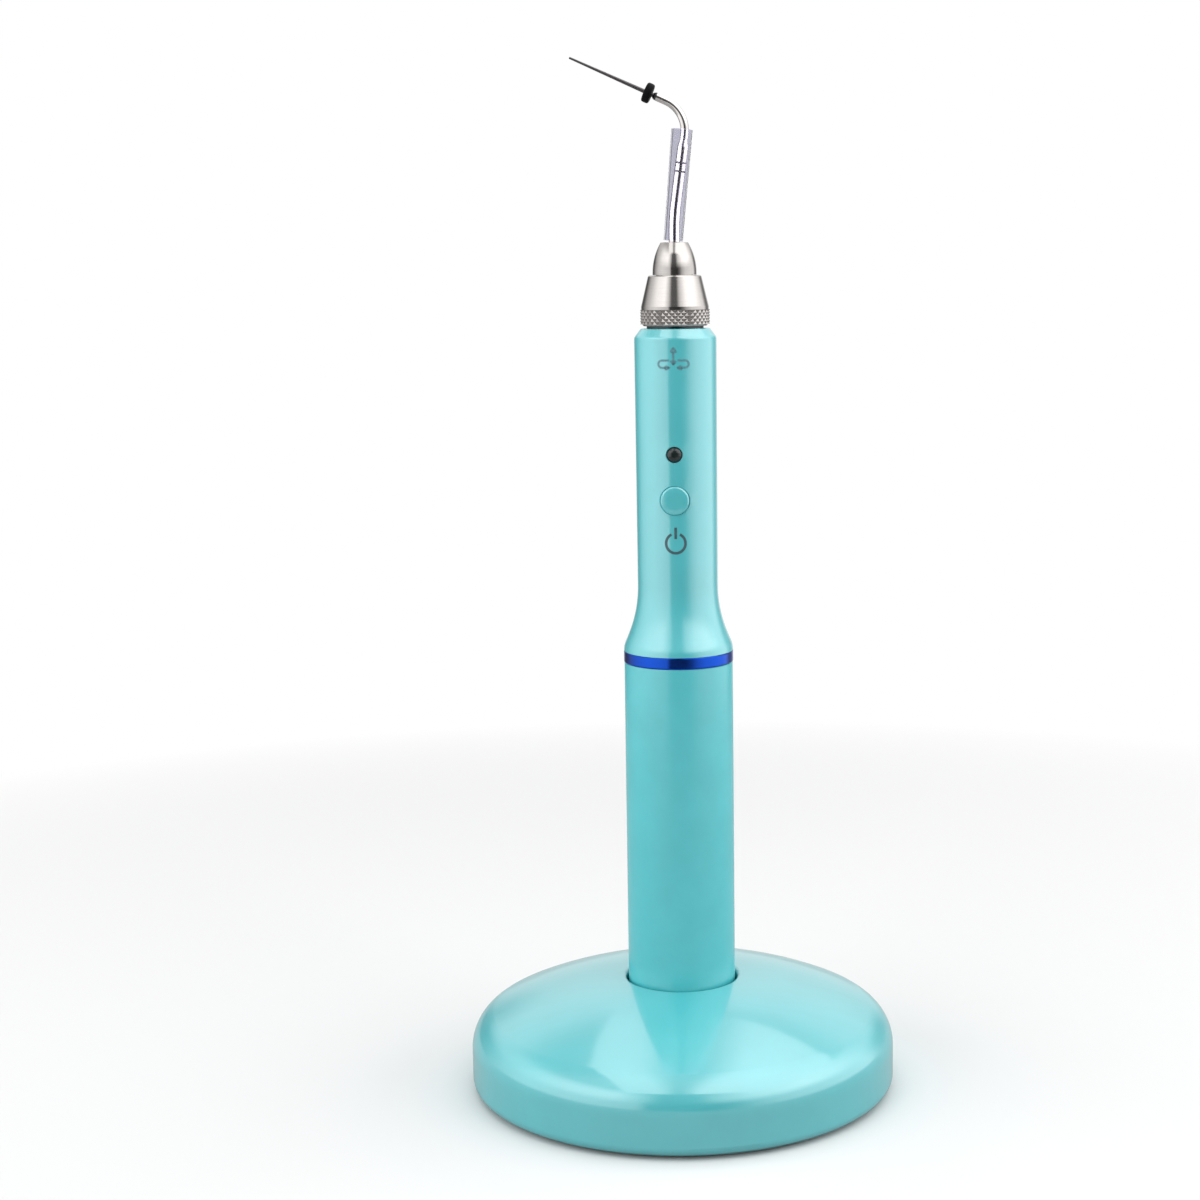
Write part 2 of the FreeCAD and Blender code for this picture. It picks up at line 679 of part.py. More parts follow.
def power_button():
    cap = front_cylinder(BUTTON_RADIUS, BUTTON_FRONT, BUTTON_BACK, BUTTON_Z)
    front_edge = [edge for edge in cap.Edges if edge.BoundBox.YMax < BUTTON_FRONT + 0.1]
    cap = cap.makeFillet(0.3, front_edge)
    flange = front_cylinder(3.0, BUTTON_BACK - 0.45, BUTTON_BACK, BUTTON_Z)
    return joined(cap, [flange])


def indicator_lens():
    """A smoked dome with a short stem, held from inside by a flange."""
    stem_back = 5.6
    flange_front = stem_back + 0.4
    flange_radius = LED_RADIUS + 0.35
    lens = spin([(0, stem_back), (flange_radius, stem_back), (flange_radius, flange_front),
                 (LED_RADIUS, flange_front), (LED_RADIUS, -LED_APEX, 1.05), (0, -LED_APEX)])
    return lay_along(lens, Vector(0, 0, LED_Z), Vector(0, -1, 0))


def status_led():
    return block((-1.1, 1.1), (PCB_Y[0] - 1.0, PCB_Y[0]), (LED_Z - 0.8, LED_Z + 0.8))


def battery_leads():
    leads = []
    for x in (-2.5, 2.5):
        route = [Vector(x, 0.8, CONTACT_BOARD_Z[1]), Vector(x, 0.8, 90.5),
                 Vector(x, -1.52, 97.5), Vector(x, -1.52, 104.5)]
        leads.append(pipe(route, [0, 9, 9, 0], 0.45))
    return Part.makeCompound(leads)


def heater_leads():
    radius = 0.35
    board_y = PCB_Y[1] + radius + 0.03
    centre_route = [Vector(0, 0, SOCKET_PIN_BOTTOM), Vector(0, 0, 135.0),
                    Vector(0, board_y, 132.6), Vector(0, board_y, 130.9)]
    side_x, side_y = LEAD_HOLE
    side_route = [Vector(side_x, side_y, BUSH_SHOULDER_Z), Vector(side_x, side_y, 138.0),
                  Vector(3.3, board_y, 135.4), Vector(3.3, board_y, 131.2)]
    centre_lead = pipe(centre_route, [0, 1.6, 1.6, 0], radius)
    side_lead = pipe(side_route, [0, 3, 3, 0], radius)
    return Part.makeCompound([centre_lead, side_lead])


# -------------------------------------------------------------------------- chuck
def front_bush():
    """The bearing in the handle's mouth that the chuck turns in."""
    bore = SPINDLE_RADIUS + 0.05
    stem_radius, flange_radius, mouth_radius = 5.0, HANDLE_BORE - 0.05, NOSE_BORE - 0.02
    flange_top = NOSE_SHOULDER_Z - 0.03
    return spin([(bore, BUSH_BOTTOM), (stem_radius, BUSH_BOTTOM), (stem_radius, BUSH_SHOULDER_Z),
                 (flange_radius, BUSH_SHOULDER_Z), (flange_radius, flange_top), (mouth_radius, flange_top),
                 (mouth_radius, HANDLE_TOP), (bore, HANDLE_TOP)])


def chuck_spindle():
    clip_low, clip_high = CLIP_Z[0] - 0.02, CLIP_Z[1] + 0.02
    drag_low, drag_high = DRAG_RING_Z - 0.35, DRAG_RING_Z + 0.35
    drag_groove = SPINDLE_RADIUS - 2 * DRAG_RING_SECTION + 0.01
    return spin([
        (SPINDLE_BORE, SPINDLE_Z[0]), (SPINDLE_RADIUS, SPINDLE_Z[0], 0.3),
        (SPINDLE_RADIUS, clip_low), (CLIP_GROOVE_RADIUS, clip_low),
        (CLIP_GROOVE_RADIUS, clip_high), (SPINDLE_RADIUS, clip_high),
        (SPINDLE_RADIUS, drag_low), (drag_groove, drag_low),
        (drag_groove, drag_high), (SPINDLE_RADIUS, drag_high),
        (SPINDLE_RADIUS, NECK_Z[0]), (NECK_RADIUS, NECK_Z[0]), (NECK_RADIUS, NECK_Z[1]),
        (SPINDLE_TOP_RADIUS, NECK_Z[1]), (SPINDLE_TOP_RADIUS, SPINDLE_Z[1]), (SPINDLE_BORE, SPINDLE_Z[1]),
    ])


def retaining_clip():
    """A split washer in the spindle's groove, behind the bush."""
    clip = tube(4.6, CLIP_GROOVE_RADIUS + 0.02, CLIP_Z[0], CLIP_Z[1])
    return clip.cut(block((-1.2, 1.2), (0, 6), CLIP_Z))


def drag_ring():
    return ring_seal(SPINDLE_RADIUS - DRAG_RING_SECTION + 0.02, DRAG_RING_SECTION, DRAG_RING_Z)


def knurled_collar():
    """The grip of the chuck: a knurled band under a cone."""
    bore = SPINDLE_TOP_RADIUS + 0.02
    upper_bore = NOSE_STEM_RADIUS + 0.02
    bore_top = SPINDLE_Z[1] + 0.2
    return spin([
        (bore, COLLAR_BOTTOM), (COLLAR_BOTTOM_RADIUS, COLLAR_BOTTOM),
        (KNURL_RADIUS, KNURL_Z[0]), (KNURL_RADIUS, KNURL_Z[1]),
        (CONE_FOOT_RADIUS, KNURL_Z[1] + 0.15), (CONE_FOOT_RADIUS, CONE_FOOT_Z),
        (COLLAR_TOP_RADIUS, COLLAR_TOP, 0.45), (upper_bore, COLLAR_TOP),
        (upper_bore, bore_top), (bore, bore_top),
    ])


def nose_cone():
    stem_bottom = SPINDLE_Z[1] + 0.03
    ogive_corner_z = NOSE_Z[0] + 3.2
    return spin([
        (COLLET_SPACE, stem_bottom), (NOSE_STEM_RADIUS, stem_bottom, 0.2), (NOSE_STEM_RADIUS, NOSE_Z[0]),
        (NOSE_RADIUS, NOSE_Z[0]), (NOSE_RADIUS, ogive_corner_z, NOSE_OGIVE),
        (NOSE_TOP_RADIUS, NOSE_Z[1], 0.15), (TUBE_HOLE, NOSE_Z[1], 0.1),
        (TUBE_HOLE, COLLET_Z[1] + 0.05), (COLLET_SPACE, COLLET_Z[1] + 0.05),
    ])


def collet():
    """A split spring sleeve that grips the tip's tube."""
    sleeve = tube(COLLET_SPACE - 0.02, TUBE_HOLE, COLLET_Z[0], COLLET_Z[1])
    slot = block((0, 3), (-0.2, 0.2), (COLLET_Z[0] + 1.6, COLLET_Z[1] + 1))
    return without(sleeve, at_angles(slot, DIAGONALS))


def pin_socket():
    """The contact tube: a solder stem below, a bore for the tip's pin above."""
    stem_radius, stem_top = 0.6, SOCKET_PIN_BOTTOM + 1.2
    bore, bore_bottom = CONTACT_PIN_RADIUS + 0.05, 143.0
    return spin([(0, SOCKET_PIN_BOTTOM), (stem_radius, SOCKET_PIN_BOTTOM), (stem_radius, stem_top),
                 (SOCKET_PIN_RADIUS, stem_top), (SOCKET_PIN_RADIUS, SOCKET_PIN_TOP),
                 (bore, SOCKET_PIN_TOP), (bore, bore_bottom), (0, bore_bottom)])


def socket_insulator():
    bore = SOCKET_PIN_RADIUS + 0.02
    outer = SPINDLE_BORE - 0.1
    flange_radius = HANDLE_BORE - 0.1
    flange_z = (138.4, 140.0)
    top = SOCKET_PIN_TOP - 0.1
    insulator = spin([(bore, flange_z[0]), (flange_radius, flange_z[0]), (flange_radius, flange_z[1]),
                      (outer, flange_z[1]), (outer, top), (bore, top)])
    return insulator.cut(cylinder(0.45, flange_z[0], flange_z[1], x=LEAD_HOLE[0], y=LEAD_HOLE[1]))


# ---------------------------------------------------------------------------- tip
def needle_heading():
    return (TUBE_END - BEND_CORNER).normalize()


def lean_point(z):
    """The point of the tube's leaning run at a height."""
    start = Vector(0, 0, LEAN_START_Z)
    return start + (BEND_CORNER - start) * ((z - LEAN_START_Z) / (BEND_CORNER.z - LEAN_START_Z))


def tip_tube():
    start = Vector(0, 0, LEAN_START_Z)
    bottom = Vector(0, 0, TUBE_BOTTOM)
    step = lean_point(STEP_Z)
    lean = (BEND_CORNER - start).normalize()
    step_end = step + lean * STEP_LENGTH
    lower = pipe([bottom, start, step], [0, LEAN_ROUND, 0], TUBE_RADIUS)
    taper = Part.makeCone(TUBE_RADIUS, TUBE_NECK_RADIUS, STEP_LENGTH, step, lean)
    upper = pipe([step_end, BEND_CORNER, TUBE_END], [0, BEND_ROUND, 0], TUBE_NECK_RADIUS)
    outside = joined(lower, [taper, upper])
    bore = pipe([bottom, start, BEND_CORNER, TUBE_END], [0, LEAN_ROUND, BEND_ROUND, 0], TUBE_BORE)
    return outside.cut(bore)


def core_wire():
    """The insulated heater wire, from the contact pin to the needle."""
    start = Vector(0, 0, LEAN_START_Z)
    bottom = Vector(0, 0, TUBE_BOTTOM)
    end = TUBE_END - needle_heading() * NEEDLE_INSERT
    return pipe([bottom, start, BEND_CORNER, end], [0, LEAN_ROUND, BEND_ROUND, 0], CORE_RADIUS)


def plugger_needle():
    root = -NEEDLE_INSERT
    needle = spin([(0, root), (NEEDLE_ROOT_RADIUS, root), (NEEDLE_ROOT_RADIUS, 0),
                   (NEEDLE_TIP_RADIUS, NEEDLE_LENGTH, 0.12), (0, NEEDLE_LENGTH)])
    return lay_along(needle, TUBE_END, needle_heading())


def needle_bead():
    """The dark seal at the tube's mouth, round the needle."""
    hole = NEEDLE_ROOT_RADIUS + 0.01
    bead = spin([(hole, 0.01), (0.74, 0.01), (0.74, 0.3, 0.15), (0.52, 0.7, 0.05), (hole, 0.7)])
    return lay_along(bead, TUBE_END, needle_heading())


def pin_insulator():
    return spin([(0, PIN_BEAD_BOTTOM), (0.75, PIN_BEAD_BOTTOM), (TUBE_RADIUS, TUBE_BOTTOM - 0.3),
                 (TUBE_RADIUS, TUBE_BOTTOM), (0, TUBE_BOTTOM)])


def contact_pin():
    bevel = 0.35
    return spin([(0, CONTACT_PIN_BOTTOM), (CONTACT_PIN_RADIUS - bevel, CONTACT_PIN_BOTTOM),
                 (CONTACT_PIN_RADIUS, CONTACT_PIN_BOTTOM + 2 * bevel),
                 (CONTACT_PIN_RADIUS, PIN_BEAD_BOTTOM), (0, PIN_BEAD_BOTTOM)])


def depth_stopper():
    """The silicone depth marker that slides on the needle."""
    edge = 0.35
    end = STOPPER_START + STOPPER_THICK
    stopper = spin([(STOPPER_HOLE, STOPPER_START), (STOPPER_RADIUS, STOPPER_START, edge),
                    (STOPPER_RADIUS, end, edge), (STOPPER_HOLE, end)])
    return lay_along(stopper, TUBE_END, needle_heading())


def heat_sleeve():
    """The clear heat-resistant sleeve, loose round the tube and standing on the chuck."""
    bottom, top = SLEEVE_RADII
    sleeve = spin([(bottom - SLEEVE_WALL, 0), (bottom, 0), (top, SLEEVE_LENGTH),
                   (top - SLEEVE_WALL, SLEEVE_LENGTH)])
    lean = math.radians(SLEEVE_LEAN)
    return lay_along(sleeve, SLEEVE_FOOT, Vector(math.sin(lean), 0, math.cos(lean)))


NODES = {
    "base_shell": base_shell, "socket_cup": socket_cup, "base_plate": base_plate,
    "base_screws": base_screws, "rubber_feet": rubber_feet, "ballast_weight": ballast_weight,
    "charge_board": charge_board, "charge_board_parts": charge_board_parts,
    "dc_jack": dc_jack, "dc_jack_pin": dc_jack_pin, "jack_leads": jack_leads,
    "pin_barrels": pin_barrels,
    "charge_pin_centre": lambda: charge_pin(0),
    "charge_pin_side": lambda: charge_pin(SIDE_PIN_X),
    "charge_spring_centre": lambda: charge_spring(0),
    "charge_spring_side": lambda: charge_spring(SIDE_PIN_X),
    "barrel_shell": barrel_shell, "contact_disc": contact_disc, "contact_ring": contact_ring,
    "battery_board": battery_board, "battery_spring": battery_spring,
    "battery_cell": battery_cell, "cell_wrap": cell_wrap,
    "trim_ring": trim_ring,
    "handle_shell": handle_shell, "coupling_sleeve": coupling_sleeve,
    "coupling_seal": coupling_seal,
    "contact_board": contact_board, "plus_contact": plus_contact,
    "inner_frame": inner_frame, "main_board": main_board, "board_screws": board_screws,
    "board_chips": board_chips, "buzzer": buzzer, "tact_switch": tact_switch,
    "switch_plunger": switch_plunger, "power_button": power_button,
    "indicator_lens": indicator_lens, "status_led": status_led,
    "battery_leads": battery_leads, "heater_leads": heater_leads,
    "front_bush": front_bush, "chuck_spindle": chuck_spindle, "retaining_clip": retaining_clip,
    "drag_ring": drag_ring, "knurled_collar": knurled_collar, "nose_cone": nose_cone,
    "collet": collet, "pin_socket": pin_socket, "socket_insulator": socket_insulator,
    "tip_tube": tip_tube, "core_wire": core_wire, "plugger_needle": plugger_needle,
    "needle_bead": needle_bead, "pin_insulator": pin_insulator, "contact_pin": contact_pin,
    "depth_stopper": depth_stopper, "heat_sleeve": heat_sleeve,
}

os.makedirs(PARTS_FOLDER, exist_ok=True)
for name, build in NODES.items():
    shape = build()
    if not shape.isValid():
        print("not valid:", name)
    shape.exportStep(os.path.join(PARTS_FOLDER, name + ".step"))
    print(f"{name}: {len(shape.Solids)} solids, {shape.Volume:.2f} mm3")
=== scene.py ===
import math

import bpy
from mathutils import Matrix, Vector


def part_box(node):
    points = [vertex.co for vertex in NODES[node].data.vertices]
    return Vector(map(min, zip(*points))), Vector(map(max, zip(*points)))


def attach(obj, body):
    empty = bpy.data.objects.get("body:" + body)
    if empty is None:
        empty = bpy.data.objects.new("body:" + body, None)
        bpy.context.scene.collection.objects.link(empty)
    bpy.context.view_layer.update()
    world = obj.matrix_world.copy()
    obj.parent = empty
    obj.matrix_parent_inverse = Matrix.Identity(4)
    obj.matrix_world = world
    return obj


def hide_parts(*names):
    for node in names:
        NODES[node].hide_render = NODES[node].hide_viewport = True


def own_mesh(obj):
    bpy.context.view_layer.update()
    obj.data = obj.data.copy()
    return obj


# The looks of a cordless dental plugger pen that stands in its round charging base.
# Lengths are in millimetres and are turned into metres where a mesh is made.

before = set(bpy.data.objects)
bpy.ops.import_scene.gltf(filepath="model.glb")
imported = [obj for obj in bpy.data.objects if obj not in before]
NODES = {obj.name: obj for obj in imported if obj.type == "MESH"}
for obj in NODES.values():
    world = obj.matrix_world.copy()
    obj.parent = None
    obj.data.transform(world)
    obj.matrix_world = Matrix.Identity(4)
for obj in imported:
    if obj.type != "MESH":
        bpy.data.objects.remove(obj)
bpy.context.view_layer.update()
MM = 0.001
FULL_TURN = 2 * math.pi
AXIS_ROUNDS = 30              # of power iteration, which settles on a node's long axis


# ------------------------------------------------------------------------- measuring
def corners(node):
    """A CAD node's lowest and highest corner, in millimetres."""
    low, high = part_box(node)
    return low / MM, high / MM


def middle(node):
    """The middle of a CAD node's box, in millimetres."""
    low, high = corners(node)
    return (low + high) / 2


def surface_point(node, start, heading):
    """Where a ray from start first meets a CAD node, in millimetres."""
    hit, place, _, _ = NODES[node].ray_cast(start * MM, heading)
    if not hit:
        raise ValueError(f"the ray misses {node}")
    return place / MM


def long_axis(node):
    """The two ends of a straight slender node's centre line, lower end first."""
    points = [v.co / MM for v in NODES[node].data.vertices]
    centre = sum(points, Vector()) / len(points)
    heading = Vector((0.0, 0.0, 1.0))
    for _ in range(AXIS_ROUNDS):
        pull = ((p - centre).dot(heading) * (p - centre) for p in points)
        heading = sum(pull, Vector()).normalized()
    reach = [(p - centre).dot(heading) for p in points]
    return centre + heading * min(reach), centre + heading * max(reach)


# --------------------------------------------------------------------- mesh helpers
ON_AXIS = 1e-6                # a radius below this counts as a point on the axis


def add_piece(name, vertices, faces, body, slot, look=None, sharp=40):
    """A mesh piece from millimetre vertices, riding on a body; its look is its slot's or another."""
    mesh = bpy.data.meshes.new(name)
    mesh.from_pydata([Vector(v) * MM for v in vertices], [], faces)
    mesh.validate()
    mesh.update()
    mesh.shade_smooth()
    mesh.set_sharp_from_angle(angle=math.radians(sharp))
    mesh.materials.append(MATERIALS[look or slot])
    piece = bpy.data.objects.new(name, mesh)
    bpy.context.scene.collection.objects.link(piece)
    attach(piece, body)
    return piece


def rounded(outline, arc_steps=6):
    """An outline's points, with each corner that has a rounding turned into an arc."""
    points = []
    count = len(outline)
    for i, corner in enumerate(outline):
        here = Vector(corner[:2])
        radius = corner[2] if len(corner) == 3 else 0
        if radius == 0:
            points.append(here)
            continue
        back = (Vector(outline[i - 1][:2]) - here).normalized()
        onward = (Vector(outline[(i + 1) % count][:2]) - here).normalized()
        half = back.angle(onward) / 2
        centre = here + (back + onward).normalized() * (radius / math.sin(half))
        start = here + back * (radius / math.tan(half)) - centre
        sweep = start.angle_signed(here + onward * (radius / math.tan(half)) - centre)
        for step in range(arc_steps + 1):
            angle = -sweep * step / arc_steps
            turned = Vector((start.x * math.cos(angle) - start.y * math.sin(angle),
                             start.x * math.sin(angle) + start.y * math.cos(angle)))
            points.append(centre + turned)
    return points


def lathe(outline, segments=96, arc_steps=6):
    """Vertices and faces of a closed (radius, height) outline turned about Z."""
    vertices, faces, rings = [], [], []
    for point in rounded(outline, arc_steps):
        if point.x < ON_AXIS:
            rings.append([len(vertices)] * segments)
            vertices.append((0, 0, point.y))
            continue
        rings.append(list(range(len(vertices), len(vertices) + segments)))
        for k in range(segments):
            angle = FULL_TURN * k / segments
            vertices.append((point.x * math.cos(angle), point.x * math.sin(angle), point.y))
    for i, ring in enumerate(rings):
        above = rings[(i + 1) % len(rings)]
        for k in range(segments):
            onward = (k + 1) % segments
            face = list(dict.fromkeys([ring[k], ring[onward], above[onward], above[k]]))
            if len(face) > 2:
                faces.append(face)
    return vertices, faces


def lay_along(vertices, foot, heading):
    """Vertices built upwards from the origin, turned to another heading and moved to foot."""
    turn = Vector((0, 0, 1)).rotation_difference(heading)
    return [turn @ Vector(v) + foot for v in vertices]


# ------------------------------------------------------------------ material helpers
def map_range(tree, factor, start, end, low, high):
    """A node's number that goes from low to high as the factor goes from start to end."""
    spread = tree.nodes.new("ShaderNodeMapRange")
    limits = {"From Min": start, "From Max": end, "To Min": low, "To Max": high}
    for name, value in limits.items():
        spread.inputs[name].default_value = value
    tree.links.new(factor, spread.inputs["Value"])
    return spread.outputs["Result"]


class Finish:
    """A procedural material while its nodes are put together."""

    def __init__(self, name):
        self.material = bpy.data.materials.new("finish_" + name)
        self.material.use_nodes = True
        self.tree = self.material.node_tree
        self.shader = self.tree.nodes["Principled BSDF"]
        self.place = self.tree.nodes.new("ShaderNodeTexCoord").outputs["Object"]
        self.normal = None

    def set(self, **values):
        """Constants on the shader."""
        names = {"ior": "IOR", "metallic": "Metallic", "specular": "Specular IOR Level",
                 "anisotropic": "Anisotropic", "anisotropic_turn": "Anisotropic Rotation",
                 "transmission": "Transmission Weight", "subsurface": "Subsurface Weight",
                 "subsurface_scale": "Subsurface Scale", "coat": "Coat Weight",
                 "coat_roughness": "Coat Roughness", "sheen": "Sheen Weight",
                 "sheen_roughness": "Sheen Roughness"}
        for key, value in values.items():
            self.shader.inputs[names[key]].default_value = value
        return self

    def mapped(self, scale):
        """Object coordinates multiplied by a scale, given per metre for each axis."""
        mapping = self.tree.nodes.new("ShaderNodeMapping")
        mapping.inputs["Scale"].default_value = scale
        self.tree.links.new(self.place, mapping.inputs["Vector"])
        return mapping.outputs["Vector"]

    def noise(self, size, stretch=(1, 1, 1), detail=3.0, rough=0.5):
        """Noise whose features are about size millimetres."""
        texture = self.tree.nodes.new("ShaderNodeTexNoise")
        texture.inputs["Scale"].default_value = 1
        texture.inputs["Detail"].default_value = detail
        texture.inputs["Roughness"].default_value = rough
        scale = tuple(axis / (size * MM) for axis in stretch)
        self.tree.links.new(self.mapped(scale), texture.inputs["Vector"])
        return texture.outputs["Fac"]

    def cells(self, size, feature="F1"):
        """The distance pattern of cells about size millimetres across."""
        texture = self.tree.nodes.new("ShaderNodeTexVoronoi")
        texture.feature = feature
        texture.inputs["Scale"].default_value = 1
        self.tree.links.new(self.mapped((1 / (size * MM),) * 3), texture.inputs["Vector"])
        return texture.outputs["Distance"]

    def between(self, factor, low, high, start=0.0, end=1.0):
        """A number that goes from low to high as the factor goes from start to end."""
        return map_range(self.tree, factor, start, end, low, high)

    def colours(self, factor, *stops):
        """Base colour from a ramp of (place, colour) stops."""
        ramp = self.tree.nodes.new("ShaderNodeValToRGB")
        elements = ramp.color_ramp.elements
        for i, (place, colour) in enumerate(stops):
            element = elements[i] if i < 2 else elements.new(place)
            element.position = place
            element.color = (*colour, 1)
        self.tree.links.new(factor, ramp.inputs["Fac"])
        self.tree.links.new(ramp.outputs["Color"], self.shader.inputs["Base Color"])
        return self

    def roughness(self, factor, low, high, start=0.3, end=0.7):
        value = self.between(factor, low, high, start, end)
        self.tree.links.new(value, self.shader.inputs["Roughness"])
        return self

    def bump(self, height, depth):
        """Relief of about depth millimetres; several calls add up."""
        relief = self.tree.nodes.new("ShaderNodeBump")
        relief.inputs["Strength"].default_value = 1
        relief.inputs["Distance"].default_value = depth * MM
        self.tree.links.new(height, relief.inputs["Height"])
        if self.normal is not None:
            self.tree.links.new(self.normal, relief.inputs["Normal"])
        self.normal = relief.outputs["Normal"]
        self.tree.links.new(self.normal, self.shader.inputs["Normal"])
        return self

    def round_z(self):
        """Brushed round Z: the grain's tangent runs round the axis."""
        tangent = self.tree.nodes.new("ShaderNodeTangent")
        tangent.direction_type = "RADIAL"
        tangent.axis = "Z"
        self.tree.links.new(tangent.outputs["Tangent"], self.shader.inputs["Tangent"])
        return self


def tint(colour, factor):
    return tuple(channel * factor for channel in colour)


# ------------------------------------------------------------------------- materials
MINT = (0.075, 0.48, 0.52)


def mint_gloss():
    """Glossy moulded plastic, with the faint waviness of a moulded skin."""
    finish = Finish("mint_gloss").set(ior=1.6, specular=1.0, coat=1.0, coat_roughness=0.35)
    finish.colours(finish.noise(9.0), (0.3, tint(MINT, 0.97)), (0.7, tint(MINT, 1.03)))
    finish.roughness(finish.noise(1.4, detail=5), 0.07, 0.13)
    finish.bump(finish.noise(3.5, detail=1), 0.004)
    return finish.bump(finish.noise(0.25), 0.0004)


def mint_satin():
    """Satin paint over the metal barrel."""
    finish = Finish("mint_satin").set(ior=1.5, specular=1.0)
    finish.colours(finish.noise(6.0), (0.3, tint(MINT, 1.0)), (0.7, tint(MINT, 1.07)))
    finish.roughness(finish.noise(2.0, detail=5), 0.19, 0.26)
    return finish.bump(finish.noise(3.5, detail=1), 0.004)


def dark_plastic():
    finish = Finish("dark_plastic").set(ior=1.5)
    finish.colours(finish.noise(3.0), (0.3, (0.012, 0.013, 0.014)), (0.7, (0.022, 0.023, 0.025)))
    finish.roughness(finish.noise(0.8), 0.42, 0.6)
    return finish.bump(finish.cells(0.18), 0.006)


def brushed_metal(name, colour, low, high, grain, anisotropic=0.5):
    """Turned metal: fine lines round Z."""
    finish = Finish(name).set(metallic=1, anisotropic=anisotropic, anisotropic_turn=0.25).round_z()
    lines = finish.noise(grain, stretch=(0.02, 0.02, 1), detail=4, rough=0.7)
    finish.colours(lines, (0.25, tint(colour, 0.9)), (0.75, tint(colour, 1.06)))
    finish.roughness(lines, low, high)
    return finish.bump(lines, 0.0012)


def plain_metal(name, colour, low, high, spot=0.6):
    finish = Finish(name).set(metallic=1)
    patches = finish.noise(spot, detail=5)
    finish.colours(patches, (0.25, tint(colour, 0.88)), (0.75, tint(colour, 1.05)))
    finish.roughness(patches, low, high)
    return finish.bump(finish.noise(0.07), 0.0006)


def steel_screw():
    return plain_metal("steel_screw", (0.5, 0.49, 0.47), 0.28, 0.38)


def spring_steel():
    return plain_metal("spring_steel", (0.42, 0.41, 0.4), 0.28, 0.4)


def foot_rubber():
    finish = Finish("foot_rubber").set(ior=1.45, sheen=0.15, sheen_roughness=0.5)
    finish.colours(finish.noise(1.5), (0.3, (0.02, 0.02, 0.021)), (0.7, (0.036, 0.036, 0.038)))
    finish.roughness(finish.noise(0.5), 0.65, 0.85)
    return finish.bump(finish.noise(0.12), 0.01)


def ballast_steel():
    return plain_metal("ballast_steel", (0.32, 0.31, 0.3), 0.4, 0.6, spot=2.5)


def circuit_board():
    """Green solder mask over copper tracks."""
    finish = Finish("circuit_board").set(ior=1.5, coat=0.4, coat_roughness=0.2)
    tracks = finish.cells(1.1, feature="DISTANCE_TO_EDGE")
    finish.colours(tracks, (0.05, (0.03, 0.2, 0.07)), (0.09, (0.008, 0.09, 0.035)))
    finish.roughness(finish.noise(0.6), 0.3, 0.42)
    return finish.bump(finish.between(tracks, 1, 0, 0.05, 0.09), 0.02)


def gold_contact():
    return plain_metal("gold_contact", (0.83, 0.58, 0.24), 0.14, 0.26)


def wire_insulation():
    finish = Finish("wire_insulation").set(ior=1.48)
    finish.colours(finish.noise(1.5), (0.3, (0.35, 0.02, 0.015)), (0.7, (0.46, 0.03, 0.02)))
    finish.roughness(finish.noise(0.4), 0.38, 0.52)
    return finish.bump(finish.noise(0.15), 0.004)


def cell_steel():
    return plain_metal("cell_steel", (0.55, 0.54, 0.52), 0.2, 0.34, spot=1.8)


def cell_wrap():
    """Shrunk sleeve of the battery cell."""
    finish = Finish("cell_wrap").set(ior=1.5, coat=0.3, coat_roughness=0.15)
    finish.colours(finish.noise(5.0), (0.3, (0.03, 0.09, 0.3)), (0.7, (0.035, 0.11, 0.36)))
    finish.roughness(finish.noise(1.0), 0.25, 0.4)
    return finish.bump(finish.noise(1.6, stretch=(1, 1, 0.25)), 0.02)


def blue_anodised():
    """Bright dyed aluminium with fine turning lines."""
    return brushed_metal("blue_anodised", (0.013, 0.075, 0.50), 0.1, 0.2, 0.1, anisotropic=0.3)


def plain_aluminium():
    return brushed_metal("plain_aluminium", (0.66, 0.66, 0.65), 0.28, 0.36, 0.1)


def switch_plunger():
    finish = Finish("switch_plunger").set(ior=1.5)
    finish.colours(finish.noise(0.8), (0.3, (0.5, 0.5, 0.48)), (0.7, (0.6, 0.6, 0.57)))
    finish.roughness(finish.noise(0.3), 0.4, 0.55)
    return finish.bump(finish.noise(0.1), 0.003)


def smoked_lens():
    """Smoke-grey clear dome with a slightly hazy inside."""
    finish = Finish("smoked_lens").set(ior=1.49, transmission=0.35)
    finish.colours(finish.noise(0.9), (0.3, (0.012, 0.022, 0.022)), (0.7, (0.028, 0.04, 0.04)))
    finish.roughness(finish.noise(0.3), 0.06, 0.12)
    return finish.bump(finish.noise(0.6, detail=1), 0.003)


def led_chip():
    finish = Finish("led_chip").set(ior=1.5, subsurface=0.2, subsurface_scale=0.0005)
    finish.colours(finish.noise(0.5), (0.3, (0.72, 0.66, 0.3)), (0.7, (0.82, 0.78, 0.42)))
    finish.roughness(finish.noise(0.3), 0.3, 0.45)
    return finish.bump(finish.noise(0.1), 0.003)


def bush_brass():
    return brushed_metal("bush_brass", (0.72, 0.5, 0.2), 0.25, 0.4, 0.12)


def chuck_steel():
    """Satin nickel with fine turning lines."""
    return brushed_metal("chuck_steel", (0.42, 0.4, 0.385), 0.09, 0.16, 0.09, anisotropic=0.3)


def knurl_steel():
    """The same nickel painted darker all over, as shade in the knurl's pits."""
    return brushed_metal("knurl_steel", (0.3, 0.285, 0.275), 0.08, 0.15, 0.09, anisotropic=0.0)


def insulator():
    finish = Finish("insulator").set(ior=1.48, subsurface=0.1, subsurface_scale=0.001)
    finish.colours(finish.noise(2.0), (0.3, (0.66, 0.64, 0.58)), (0.7, (0.74, 0.72, 0.66)))
    finish.roughness(finish.noise(0.5), 0.4, 0.55)
    return finish.bump(finish.noise(0.12), 0.003)


